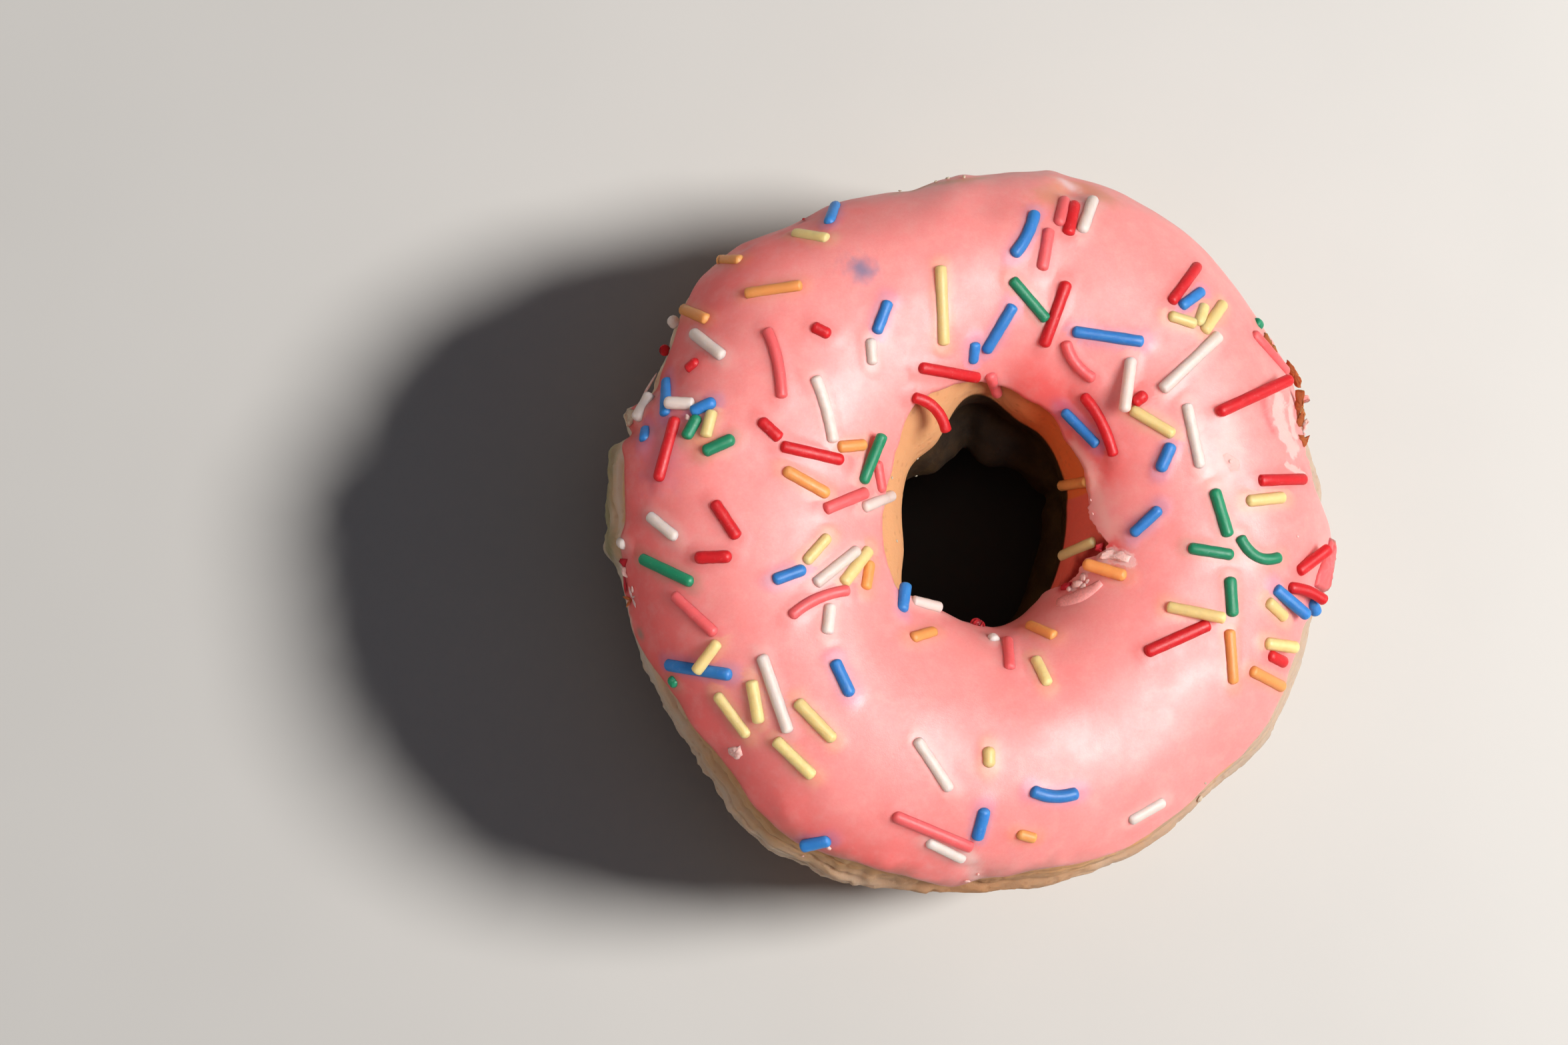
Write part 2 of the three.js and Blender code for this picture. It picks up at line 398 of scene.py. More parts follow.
# Both edges of the icing. Where they show, they are named by places of the image, and where the
# ring hides them, by a turn and a roll.
icingEdges = {
    "lipBulge": 0.85,      # the lip shows this far out from the dough, mm
    "lipRoll": 3,          # and this far above where it ends, in degrees of roll
    "outerSeen": [
        (946, 645), (941, 672), (941, 700), (941, 740), (940, 780), (938, 812), (934, 838), (938, 870),
        (945, 900), (949, 930), (957, 955), (970, 980), (985, 1000), (999, 1020), (1014, 1040),
        (1028, 1060), (1041, 1080), (1056, 1100), (1072, 1120), (1086, 1140), (1103, 1160),
        (1117, 1180), (1130, 1200), (1144, 1220), (1166, 1240), (1195, 1258), (1225, 1273),
        (1250, 1281), (1280, 1289), (1310, 1297), (1340, 1306), (1370, 1312), (1395, 1321),
        (1425, 1327), (1446, 1327), (1458, 1317), (1470, 1313), (1500, 1311), (1530, 1306),
        (1560, 1299), (1600, 1293), (1640, 1283), (1680, 1272), (1700, 1262), (1740, 1233),
        (1780, 1203), (1820, 1163), (1860, 1130), (1885, 1102), (1900, 1080), (1912, 1055),
        (1920, 1035), (1928, 1010), (1938, 985), (1946, 960), (1950, 935), (1964, 915), (1980, 895),
        (1990, 850), (1990, 805), (1984, 780), (1974, 750), (1962, 722), (1955, 690), (1948, 662),
        (1940, 620), (1936, 580), (1922, 540), (1905, 520), (1893, 500),
    ],
    "outerHidden": [(35, 15), (60, 14), (90, 15), (120, 14), (145, 14), (158, 17)],
    "innerSeen": [
        (1352, 896), (1338, 880), (1328, 852), (1321, 815), (1318, 785), (1321, 755), (1329, 722),
        (1338, 688), (1347, 658), (1358, 625), (1370, 600), (1395, 584), (1430, 573), (1465, 570),
        (1500, 577), (1530, 588), (1560, 604), (1582, 625), (1600, 656), (1620, 682), (1632, 712),
        (1636, 745), (1640, 775), (1652, 797), (1672, 822), (1655, 836), (1638, 842), (1626, 858),
        (1612, 876), (1592, 888), (1572, 893),
    ],
    "innerHidden": [(237, 192), (268, 197), (296, 190)],
    "blur": 1.2,           # degrees of turn over which an edge is smoothed
    "turnStep": 0.5,
}
bulgedForm = formTree(icingEdges["lipBulge"])


def edgeRolls(seen, hidden, shift):
    # the roll of an edge at every step of turn
    places = [turnAndRoll(bulgedForm, x, y) for x, y in seen]
    known = sorted([(turn, roll + shift) for turn, roll in places] + hidden)
    turns, rolls = np.array(known).T
    fine = np.arange(0, 360, icingEdges["turnStep"])
    values = np.interp(fine, turns, rolls, period=360)
    reach = int(3 * icingEdges["blur"] / icingEdges["turnStep"])
    shares = [math.exp(-((step * icingEdges["turnStep"] / icingEdges["blur"]) ** 2) / 2)
              for step in range(-reach, reach + 1)]
    blurred = sum(share * np.roll(values, step) for step, share in zip(range(-reach, reach + 1), shares))
    return fine, blurred / sum(shares)


edgeTurns, outerEdge = edgeRolls(icingEdges["outerSeen"], icingEdges["outerHidden"], -icingEdges["lipRoll"])
edgeTurns, innerEdge = edgeRolls(icingEdges["innerSeen"], icingEdges["innerHidden"], icingEdges["lipRoll"])


def outerReach(turn):
    return np.interp(turn, edgeTurns, outerEdge, period=360)


def innerReach(turn):
    return np.interp(turn, edgeTurns, innerEdge, period=360)


def turnBand(turn, low, high, soft):
    # 1 between two turns, which may run through 0, and 0 outside them
    middle = (low + high) / 2
    apart = np.abs((turn - middle + 180) % 360 - 180)
    return 1 - easing(apart, (high - low) / 2 - soft / 2, (high - low) / 2 + soft / 2)


print("edges of the icing found")


doughLook = {
    "turns": 640,
    # from roll to roll, and how many steps between: close together on the bare side and in the hole
    "rollSteps": [(-50, 40, 120), (40, 130, 26), (130, 232, 90), (232, 310, 24)],
    "foldSpacing": 2.1,      # of the folds round the bare side, mm
    "foldWander": (1.2, 11),     # how far they stray, and over what length
    "foldDepth": 0.55,
    "foldPatches": 13,
    # depth and size of what covers the skin
    "wrinkles": (0.16, 3.2),
    "lumps": (0.28, 6.5),
    "notches": (0.14, 1.1),
    "raggedTurns": (166, 276),   # where the skin is torn into small points
    "ragged": (0.65, 2.4),
    "raggedPatches": 7,
    "calmInHole": 0.75,
    "bareBelow": (24, 28),       # heights over which the skin goes smooth under the icing
    "sectionArc": 0.28,          # mm along the section for each degree of roll
    "greyShare": 0.85,
    "edgeToast": 0.15,
    "filmThickness": 0.3,    # of the icing that ran down the wall of the hole
    "filmTurns": (-58, 12),
    "filmRolls": (136, 200),
    "paintedShadeFrom": 177,         # the roll below which the wall of the hole has painted shade
    "paintedShadeWaves": [(100, 14, -13), (12, 26, -4), (308, 14, 4)],
    "shadedWall": (-52, 78),     # the side of the wall that stays in shade
    "brownSides": [(268, 20, 1.0), (300, 16, 0.4), (222, 14, 0.3)],
    "browned": (0.28, 0.095, 0.03),
    "golden": (0.60, 0.32, 0.13),
    "pale": (0.68, 0.54, 0.42),
    "tan": (0.70, 0.39, 0.19),
    # painted shade: greyer and darker bare dough on the right, where the lights fall strongest
    "greySide": (0.48, 0.365, 0.285),
    "greyTurns": (-66, 26),
    "toasted": (0.46, 0.23, 0.11),
    "wall": (0.66, 0.33, 0.15),
    "wallShaded": (0.81, 0.165, 0.042),
    # painted shade for the lower wall of the hole, below its overhang
    "wallPaintedShade": (0.042, 0.021, 0.007),
    "wallPaintedShadeDarker": (0.024, 0.012, 0.005),
    "film": (0.80, 0.135, 0.086),
}


def doughRelief(points, turn, roll):
    # how far the skin of the dough stands off the plain form
    look = doughLook
    height = points[..., 2]
    inHole = easing(-np.cos(np.radians(roll)), -0.1, 0.25)
    bare = 1 - easing(height, *look["bareBelow"])
    offBase = easing(height, 0.3, 2.5)

    def cover(name, shift, octaves, squash):
        depth, size = look[name]
        return depth * roughness(points + shift, size, octaves, squash)

    wander = cover("foldWander", 0, 3, (1, 1, 1))
    crease = (1 - np.abs(np.sin(np.pi * (height + wander) / look["foldSpacing"]))) ** 2.5
    crease = crease * easing(roughness(points + 40, look["foldPatches"], 2), -0.45, 0.25) * (1 - inHole)
    folds = -look["foldDepth"] * crease * easing(height, 4, 8)
    depth, size = look["notches"]
    notches = -depth * easing(roughness(points + 20, size, 2), 0.1, 0.5)
    covers = cover("wrinkles", 0, 4, (1, 1, 4)) + cover("lumps", 90, 3, (1, 1, 1.6)) + notches
    slender = points * (1, 1, 0.35)
    torn = turnBand(turn, *look["raggedTurns"], 14) * easing(height, 5, 8) * (1 - inHole)
    torn = torn * easing(roughness(slender + 30, look["raggedPatches"], 2), -0.5, 0.3)
    depth, size = look["ragged"]
    ragged = depth * torn * np.abs(roughness(slender + 60, size, 5))
    smooth = 1 - look["calmInHole"] * inHole
    return (folds + covers * smooth + ragged) * bare * offBase, crease


def filmShare(turn, roll):
    look = doughLook
    along = turnBand(turn, *look["filmTurns"], 12)
    low, high = look["filmRolls"]
    return along * easing(roll, low, low + 6) * (1 - easing(roll, high - 14, high))


def doughMaterial():
    look = doughLook
    finish = Finish("friedDough")
    height = finish.add("ShaderNodeSeparateXYZ", values={"Vector": finish.place()}, output="Z")
    level = height * 1000 + (finish.grain(8, detail=4) - 0.5) * 7
    stops = [(0.0, look["browned"]), (0.24, look["golden"]), (0.38, look["pale"]), (0.62, look["pale"]),
             (0.78, look["tan"])]
    bands = finish.add("ShaderNodeValToRGB", {"stops": stops}, {"Fac": finish.ramp(level, -3, 31)},
                       output="Color")
    # painted shade: greyer and darker on the brightly lit right side
    bands = finish.blend(finish.mask("greySide"), bands, look["greySide"])
    wall = finish.blend(finish.mask("shaded"), look["wall"], look["wallShaded"])
    colour = finish.blend(finish.mask("inHole"), bands, wall)
    mottle = finish.grain(2.4, detail=5, roughness=0.65)
    colour = finish.blend(finish.ramp(mottle, 0.5, 0.75, 0.0, 0.25), colour, look["golden"])
    # painted shade: a little darker in the creases between the folds
    colour = finish.blend(finish.mask("crease") * 0.2, colour, look["golden"])
    colour = finish.blend(finish.mask("toast"), colour, look["toasted"])
    pores = finish.ramp(finish.spots(1.3), 0.1, 0.28, 0.2, 0.0)
    colour = finish.blend(pores, colour, look["browned"])
    film = finish.ramp(finish.mask("film") + (finish.grain(1.6) - 0.5) * 0.5, 0.35, 0.65)
    colour = finish.blend(film, colour, look["film"])
    colour = finish.stained(colour)
    # painted shade: the lower wall of the hole goes nearly black
    deep = finish.blend(finish.ramp(finish.grain(3), 0.35, 0.65), look["wallPaintedShade"], look["wallPaintedShadeDarker"])
    colour = finish.blend(finish.mask("deep"), colour, deep)
    fine = finish.grain(0.5, detail=4, roughness=0.7)
    relief = fine * 0.35 + mottle - pores
    return finish.surface({
        "Base Color": colour,
        "Roughness": finish.ramp(mottle, 0.3, 0.7, 0.6, 0.8) - film * 0.25,
        "Normal": finish.bump(relief, 0.45, 0.3),
        "Subsurface Weight": 0.25,
        "Subsurface Radius": (1.0, 0.5, 0.25),
        "Subsurface Scale": 0.003,
        "Specular IOR Level": 0.2,
    })


def makeDough():
    look = doughLook
    rolls = np.concatenate([np.linspace(*part, endpoint=False) for part in look["rollSteps"]])
    turn, roll = ringGrid(look["turns"], rolls)
    points = ringPoints(turn, roll)
    depth, crease = doughRelief(points, turn, roll)
    film = filmShare(turn, roll)
    depth = depth * (1 - film) + look["filmThickness"] * film
    points = points + gridNormals(points) * depth[..., None]
    points[..., 2] = np.maximum(points[..., 2], 0)
    fromEdge = np.minimum(np.abs(outerReach(turn) - roll), np.abs(roll - innerReach(turn)))
    fromEdge = fromEdge * look["sectionArc"]
    inHole = easing(-np.cos(np.radians(roll)), 0.1, 0.5)
    brown = np.clip(swells(look["brownSides"], turn), 0, 1)
    paintedShadeFrom = look["paintedShadeFrom"] + swells(look["paintedShadeWaves"], turn)
    grey = turnBand(turn, *look["greyTurns"], 24) * easing(points[..., 2], 9, 14)
    masks = {
        "inHole": inHole,
        "shaded": turnBand(turn, *look["shadedWall"], 40),
        "greySide": grey * look["greyShare"],
        "deep": easing(roll, paintedShadeFrom - 1, paintedShadeFrom + 2) * inHole,
        "crease": crease,
        "toast": np.maximum(brown * (1 - inHole), fade(fromEdge, 1.2) * look["edgeToast"]),
        "film": film,
    }
    return makeMesh("doughRing", points.reshape(-1, 3), gridFaces(*turn.shape), doughMaterial(), masks)


dough = makeDough()
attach(dough, "root")
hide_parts("dough_ring")
print("dough made")


icingLook = {
    "turns": 720,
    "acrossSteps": 150,
    "backSteps": 16,
    "thickness": 1.1,
    "gap": 0.3,
    "lipWidth": 1.6,
    "brokenLip": 0.45,       # where the edge is torn
    "brokenInner": (-56, 4),
    "brokenOuter": (8, 38),
    "ripple": 0.9,           # degrees of roll that the edges waver by
    "brokenRipple": 2.2,
    "unevenness": 0.16,
    "edgeSink": 0.25,        # how far its edges dip into the dough, and its back, mm
    "backSink": 1.6,
    "crowding": 0.13,        # of its points towards the edges, where the lip curls under
    "sectionRadius": 17,
    # places of the image where the icing dips, reach and depth in mm
    "dents": [
        ((1478, 312), 3.0, 0.6), ((1606, 288), 2.4, 0.9), ((1570, 258), 1.5, -0.8),
        ((1592, 404), 3.2, 0.4), ((1420, 320), 3.4, -0.3), ((1668, 330), 4.0, -0.35),
        ((1300, 330), 3.0, 0.3), ((1700, 560), 3.5, 0.25), ((1650, 700), 1.6, 0.25),
        ((1893, 640), 1.5, 0.3), ((1160, 1000), 4.0, 0.25), ((1350, 1080), 5.0, -0.25),
        ((1560, 1090), 4.5, -0.3), ((1120, 700), 4.0, 0.25), ((1230, 560), 4.0, -0.25),
        ((1372, 288), 2.2, 0.6), ((1442, 274), 1.6, -0.5), ((1500, 266), 1.4, 0.35),
        ((1160, 350), 1.3, -0.5), ((1205, 330), 0.9, 0.6), ((1120, 376), 1.2, 0.4),
        ((1640, 268), 1.4, 0.5), ((1690, 292), 1.6, -0.4), ((1455, 1300), 1.4, 0.5),
        ((1674, 836), 1.1, 0.25), ((1330, 1290), 1.8, -0.4), ((1180, 1215), 2.0, -0.4),
        ((1050, 1085), 2.2, -0.3),
    ],
    "pink": (0.93, 0.28, 0.262),
    "deepPink": (0.80, 0.13, 0.12),
    "palePink": (0.94, 0.39, 0.365),
    "shadedPink": (0.93, 0.14, 0.13),     # painted shade: deeper pink where the ring faces away from the light
    "shadedPinkTurns": (112, 262),
    "shadedPinkRolls": (30, 66),
    "innerShadedPink": ((12, 82), (116, 140)),
    "border": (0.24, 0.11, 0.065),       # its outermost edge: darker where the dough shows through, with painted contact shade
    # from one turn to another, and how strongly
    "borders": [(122, 288, 0.28), (236, 284, 0.55)],
    "borderWidth": 2.4,
    "scraped": (0.95, 0.54, 0.49),
    "roughness": 0.44,
    "meniscus": 0.14,        # how high the icing draws up round a sprinkle, mm
}


def icingReach(turns):
    # both edges with their small waver, which is coarser where they are torn
    look = icingLook
    angle = np.radians(turns)
    circle = np.stack([np.cos(angle), np.sin(angle), np.zeros_like(angle)], axis=-1)
    outerBroken = turnBand(turns, *look["brokenOuter"], 6)
    innerBroken = turnBand(turns, *look["brokenInner"], 6)
    outerWaver = roughness(circle, 0.09, 3) * look["ripple"] + roughness(circle, 0.03, 3) * outerBroken * 3
    innerWaver = roughness(circle + 5, 0.2, 3) * look["ripple"]
    innerWaver = innerWaver + roughness(circle, 0.06, 3) * innerBroken * look["brokenRipple"]
    return outerReach(turns) + outerWaver, innerReach(turns) - innerWaver, outerBroken, innerBroken


def lipShape(distance, width):
    # how much of its thickness the icing has at a distance from its edge
    return np.sqrt(np.maximum(0, 1 - (1 - np.clip(distance / width, 0, 1)) ** 2))


def icingPoints():
    look = icingLook
    turns = np.arange(look["turns"]) * 360 / look["turns"]
    outer, inner, *broken = icingReach(turns)

    def spread(share):
        # the turn and the roll at these shares of the way over the ring
        roll = outer[:, None] + (inner - outer)[:, None] * share[None, :]
        return np.repeat(turns[:, None], len(share), axis=1), roll

    steps = np.linspace(0, 1, look["acrossSteps"])
    share = steps - look["crowding"] * np.sin(2 * np.pi * steps)
    turn, roll = spread(share)
    arc = np.radians(inner - outer)[:, None] * look["sectionRadius"]
    outerLip, innerLip = [look["lipWidth"] + (look["brokenLip"] - look["lipWidth"]) * torn[:, None]
                          for torn in broken]
    lip = lipShape(share * arc, outerLip) * lipShape((1 - share) * arc, innerLip)
    base = ringPoints(turn, roll)
    uneven = look["unevenness"] * roughness(base, 12, 3)
    for place, reach, depth in look["dents"]:
        middle = firstHit(bulgedForm, *place)[0]
        uneven = uneven - depth * fade(np.linalg.norm(base - middle, axis=-1), reach)
    offset = (look["gap"] + look["thickness"] + uneven) * lip - look["edgeSink"] * (1 - lip)
    front = ringPoints(turn, roll, offset)
    backTurn, backRoll = spread(np.linspace(1, 0, look["backSteps"]))
    back = ringPoints(backTurn, backRoll, -look["backSink"])
    # painted shade: deeper pink on the outer slope of the shaded left side and on the inner right slope
    thin = (1 - easing(roll, *look["shadedPinkRolls"])) * turnBand(turn, *look["shadedPinkTurns"], 24)
    innerTurns, innerRolls = look["innerShadedPink"]
    thin = thin + easing(roll, *innerRolls) * turnBand(turn, *innerTurns, 14)
    width = look["borderWidth"] * (1 + 0.6 * roughness(base, 4, 3))
    reached = sum(turnBand(turn, low, high, 14) * strength for low, high, strength in look["borders"])
    masks = {"thin": thin, "border": fade(share * arc, width) * reached}
    none = np.zeros_like(backRoll)
    masks = {name: np.concatenate([mask, none], axis=1) for name, mask in masks.items()}
    return np.concatenate([front, back], axis=1), masks


def icingMaterial():
    look = icingLook
    finish = Finish("pinkIcing")
    clouds = finish.grain(14, detail=3)
    colour = finish.blend(finish.ramp(clouds, 0.35, 0.65, 0.0, 0.3), look["pink"], look["palePink"])
    # painted shade: deeper pink on the shaded slopes
    colour = finish.blend(finish.mask("thin"), colour, look["shadedPink"])
    # darker at the outer edge: dough showing through, with painted contact shade
    colour = finish.blend(finish.mask("border"), colour, look["border"])
    speckle = finish.grain(0.32, detail=3, roughness=0.75)
    colour = finish.blend(finish.ramp(speckle, 0.35, 0.7, 0.0, 0.14), colour, look["deepPink"])
    mottle = finish.grain(2.2, detail=4, roughness=0.65)
    colour = finish.blend(finish.ramp(mottle, 0.4, 0.75, 0.0, 0.16), colour, look["scraped"])
    colour = finish.stained(colour)
    scrape = finish.ramp(finish.mask("scrape") + (finish.grain(1.1, detail=5) - 0.5) * 1.1, 0.36, 0.66)
    colour = finish.blend(scrape * 0.6, colour, look["scraped"])
    sugar = finish.grain(0.2, detail=2, roughness=0.8)
    waves = finish.grain(2.6, detail=3)
    crumbly = finish.grain(0.4, detail=4, roughness=0.7) * scrape
    gloss = finish.ramp(finish.grain(5, detail=4), 0.3, 0.7, 0.0, 0.12) + (look["roughness"] - 0.04)
    return finish.surface({
        "Base Color": colour,
        "Roughness": gloss + scrape * 0.35,
        "Normal": finish.bump(sugar * 0.4 + waves * 0.6 + crumbly * 1.5, 0.32, 0.12),
        "Subsurface Weight": 0.6,
        "Subsurface Radius": (1.0, 0.28, 0.22),
        "Subsurface Scale": 0.0035,
        "Specular IOR Level": 0.5,
    })


def makeIcing():
    points, masks = icingPoints()
    faces = gridFaces(*points.shape[:2])
    return makeMesh("icingSkin", points.reshape(-1, 3), faces, icingMaterial(), masks)


icing = makeIcing()
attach(icing, "root")
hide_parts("icing")
print("icing made")


def surfaceTree(*pieces):
    # one tree of the pieces' faces, in mm, for finding where things lie
    points = []
    faces = []
    for piece in pieces:
        start = len(points)
        points += [vertex.co / metresPerMm for vertex in piece.data.vertices]
        faces += [[start + index for index in face.vertices] for face in piece.data.polygons]
    return BVHTree.FromPolygons(points, faces)


iced = surfaceTree(icing, dough)
bareDough = surfaceTree(dough)
print("surfaces ready for sprinkles")


# Each sprinkle is named by the places of its two ends in the image, with its middle between them
# where it is bent. Those under "reaching" start on the icing and stick out past its edge, those
# under "tipping" touch it a third of the way along, and those under "sunk" lie half in it. Those
# under "over" lie across others, so they come last and are propped up.

sprinkleLook = {
    "radius": 0.75,
    "sides": 14,
    "seat": 0.14,         # how far its axis stands off the icing, mm
    "sunkSeat": -0.4,
    "conform": 0.5,       # 0 keeps it straight, 1 bends it to the icing
    "lean": 0.5,          # how far one that reaches off an edge turns to face the camera
    "steps": 9,
    "seed": 5,
    # shares of the radius, drawn for each: its size, how flat it lies and how deep its ends are
    "sizes": (0.93, 1.07),
    "flatness": (0.94, 1.0),
    "endDepth": (0.5, 0.9),
    "waver": (0.97, 1.03),
    # one that was pressed flat into the rim
    "pressedColour": "coral",
    "pressedLook": {"thickness": 0.7, "raggedness": 0.4, "drop": 6},
    "pressed": [(1994, 807), (2003, 811), (2003, 824), (1998, 852), (1992, 886), (1984, 889), (1971, 880),
                (1976, 860), (1982, 845), (1989, 828)],
}
sprinkleColours = {
    "blue": {
        "colour": (0.035, 0.216, 0.565),
        "laid": [
            (1254, 308, 1243, 337), (1333, 451, 1314, 501), (1001, 568, 998, 625), (1074, 602, 1036, 619),
            (970, 640, 966, 663), (1521, 457, 1477, 530), (1463, 513, 1459, 546),
            (1553, 317, 1540, 354, 1519, 384), (1608, 497, 1716, 513), (1804, 436, 1770, 461),
            (1594, 615, 1647, 669), (1758, 665, 1739, 708), (1159, 871, 1209, 853), (999, 997, 1098, 1013),
            (1251, 990, 1277, 1045), (1478, 1212, 1465, 1260), (1546, 1185, 1580, 1195, 1618, 1189),
            (1741, 762, 1697, 803),
        ],
        "reaching": [
            (1353, 918, 1359, 875), (1246, 1260, 1200, 1271), (1912, 882, 1964, 926), (1966, 899, 1976, 923),
        ],
    },
    "red": {
        "colour": (0.648, 0.0148, 0.0201),
        "laid": [
            (1218, 489, 1246, 503), (996, 524, 1000, 530), (1030, 556, 1048, 540), (1014, 625, 987, 723),
            (1139, 629, 1171, 659), (1171, 669, 1266, 691), (1378, 551, 1469, 567), (1612, 305, 1602, 353),
            (1601, 422, 1565, 521), (1699, 606, 1720, 590), (1797, 398, 1756, 455),
            (1623, 592, 1651, 631, 1671, 685), (1070, 752, 1107, 808), (1042, 837, 1098, 835),
            (1463, 935, 1469, 939), (1888, 721, 1958, 719), (1815, 936, 1717, 980), (1902, 982, 1928, 995),
        ],
        "reaching": [
            (1368, 596, 1402, 612, 1420, 649), (1946, 859, 1995, 822), (1932, 882, 1962, 887, 1989, 903),
        ],
        "tipping": [(1827, 619, 1938, 568)],
    },
    "coral": {
        "colour": (0.93, 0.13, 0.135),
        "laid": [
            (1149, 493, 1165, 536, 1173, 598), (1597, 299, 1588, 339), (1574, 343, 1563, 406),
            (1598, 511, 1612, 544, 1642, 570), (1878, 499, 1928, 558), (1484, 560, 1497, 594),
            (1315, 691, 1323, 740), (1236, 765, 1301, 738), (1009, 891, 1074, 952),
            (1185, 926, 1224, 899, 1275, 885), (1339, 1223, 1459, 1272), (1511, 958, 1515, 1005),
        ],
    },
    "green": {
        "colour": (0.0168, 0.261, 0.129),
        "laid": [
            (1048, 623, 1028, 659), (1054, 679, 1102, 657), (1517, 418, 1571, 481), (1884, 484, 1889, 489),
            (961, 837, 1040, 875), (1008, 1019, 1013, 1026), (1821, 733, 1843, 806),
            (1859, 804, 1886, 836, 1922, 835), (1782, 822, 1851, 833), (1845, 865, 1849, 926),
        ],
        "over": [(1314, 651, 1294, 726)],
    },
    "yellow": {
        "colour": (0.875, 0.61, 0.258),
        "laid": [
            (1190, 351, 1244, 359), (1411, 398, 1416, 519), (1069, 615, 1058, 657), (1695, 613, 1762, 653),
            (1752, 473, 1795, 487), (1807, 457, 1797, 489), (1835, 455, 1805, 499), (1244, 803, 1207, 845),
            (1305, 823, 1264, 877), (1074, 1040, 1123, 1106), (1127, 1020, 1139, 1086),
            (1194, 1051, 1252, 1112), (1162, 1109, 1221, 1166), (1483, 1120, 1484, 1152),
            (1552, 986, 1573, 1029), (1869, 752, 1928, 746), (1900, 901, 1928, 928),
        ],
        "sunk": [(1592, 835, 1644, 812)],
        "reaching": [(1897, 965, 1948, 972)],
        "over": [(1078, 962, 1050, 1007), (1750, 910, 1835, 930)],
    },
    "orange": {
        "colour": (0.93, 0.328, 0.094),
        "laid": [
            (1074, 391, 1113, 391), (1117, 441, 1204, 428), (1020, 462, 1062, 480), (1256, 671, 1300, 667),
            (1175, 704, 1244, 743), (1305, 841, 1298, 885), (1366, 958, 1404, 947), (1525, 1250, 1554, 1258),
            (1542, 938, 1584, 956), (1844, 944, 1850, 1027), (1875, 1005, 1924, 1031),
        ],
        "sunk": [(1592, 729, 1631, 723)],
        "reaching": [(1690, 865, 1624, 845)],
    },
    "white": {
        "colour": (0.8, 0.64, 0.57),
        "laid": [
            (1039, 499, 1086, 536), (1306, 507, 1309, 548), (1222, 564, 1239, 612, 1250, 665),
            (1640, 299, 1622, 349), (1830, 502, 1742, 586), (1780, 605, 1801, 703), (1295, 762, 1340, 743),
            (973, 773, 1016, 808), (932, 814, 938, 818), (1289, 823, 1222, 877), (1246, 905, 1241, 952),
            (1487, 956, 1493, 962), (1142, 982, 1183, 1100), (1374, 1108, 1426, 1187),
            (1390, 1262, 1447, 1290), (1693, 1232, 1747, 1201), (1008, 480, 1013, 486),
        ],
        "reaching": [(1368, 901, 1412, 912), (977, 590, 953, 631)],
        "over": [(1003, 612, 1042, 606), (1697, 536, 1687, 619)],
    },
}
draw = random.Random(sprinkleLook["seed"])


def seenPlaces(ends):
    # places of the image along a sprinkle, on a curve through its middle if that is given
    start, end = np.array(ends[:2], dtype=float), np.array(ends[-2:], dtype=float)
    middle = np.array(ends[2:4], dtype=float) if len(ends) == 6 else (start + end) / 2
    bend = 2 * middle - (start + end) / 2
    t = np.linspace(0, 1, sprinkleLook["steps"])[:, None]
    return (1 - t) ** 2 * start + 2 * t * (1 - t) * bend + t * t * end


def sightLines(places):
    return np.array([sightLine(x, y) for x, y in places])


def onPlane(places, point, facing):
    # where the sight lines through the places meet a plane
    ways = sightLines(places)
    return eyePoint + ways * (((point - eyePoint) @ facing) / (ways @ facing))[:, None]


def turnedToView(normal, lean):
    return unit(normal + lean * backward)


def asSeen(path, places):
    # the same path at the same depths, moved until each point shows at its place
    ways = sightLines(places)
    return eyePoint + ways * (((path - eyePoint) @ backward) / (ways @ backward))[:, None]


def surfaceAt(places):
    # the surface that shows at places of the image, and the ways it faces
    hits = [firstHit(iced, x, y) for x, y in places]
    return np.array([hit[0] for hit in hits]), np.array([hit[1] for hit in hits])


def standClear(path, places):
    # the same path, moved towards the camera until no icing or dough covers it
    covered = 0.0
    for (x, y), point in zip(places, path):
        cover = iced.ray_cast(eye, sightLine(x, y))[0]
        if cover is not None:
            covered = max(covered, (np.array(cover) - point) @ backward)
    return asSeen(path + backward * covered, places)


def reachingPath(ends, touches, lean):
    # straight, from where it touches the icing
    places = seenPlaces(ends)
    point, normal, _ = firstHit(iced, *places[touches])
    facing = turnedToView(normal, lean)
    return standClear(onPlane(places, point + normal * sprinkleLook["seat"], facing), places), facing


def sprinklePath(ends, seat):
    # points along the sprinkle's axis, from one end to the other, and the way the icing faces
    places = seenPlaces(ends)
    path, ways = surfaceAt(places)
    normal = unit(ways.mean(axis=0))
    # a stiff stick touches the icing at its highest place
    rise = (path - path[0]) @ normal
    level = np.linspace(0, rise[-1], len(path))
    hump = max((rise - level).max() * 0.75, 0)
    stiff = path + np.outer(level - rise + hump, normal)
    share = sprinkleLook["conform"]
    path = path * share + stiff * (1 - share) + normal * seat
    return asSeen(path, places), normal


def propUp(path, normal, earlier):
    # tips the sprinkle about one end until it clears what it lies across
    clear = 2 * sprinkleLook["radius"] * 0.97
    best, where = 0.0, 0.5
    for index, point in enumerate(path):
        apart = earlier - point
        height = apart @ normal
        sideways = np.linalg.norm(apart - np.outer(height, normal), axis=1)
        near = sideways < clear
        if near.any():
            need = (height[near] + np.sqrt(clear ** 2 - sideways[near] ** 2)).max()
            if need > best:
                best, where = need, index / (len(path) - 1)
    share = np.linspace(0, 1, len(path))
    lift = share / where if where >= 0.5 else (1 - share) / (1 - where)
    return path + np.outer(best * lift, normal)


def pathLength(path):
    return np.linalg.norm(np.diff(path, axis=0), axis=1).sum()


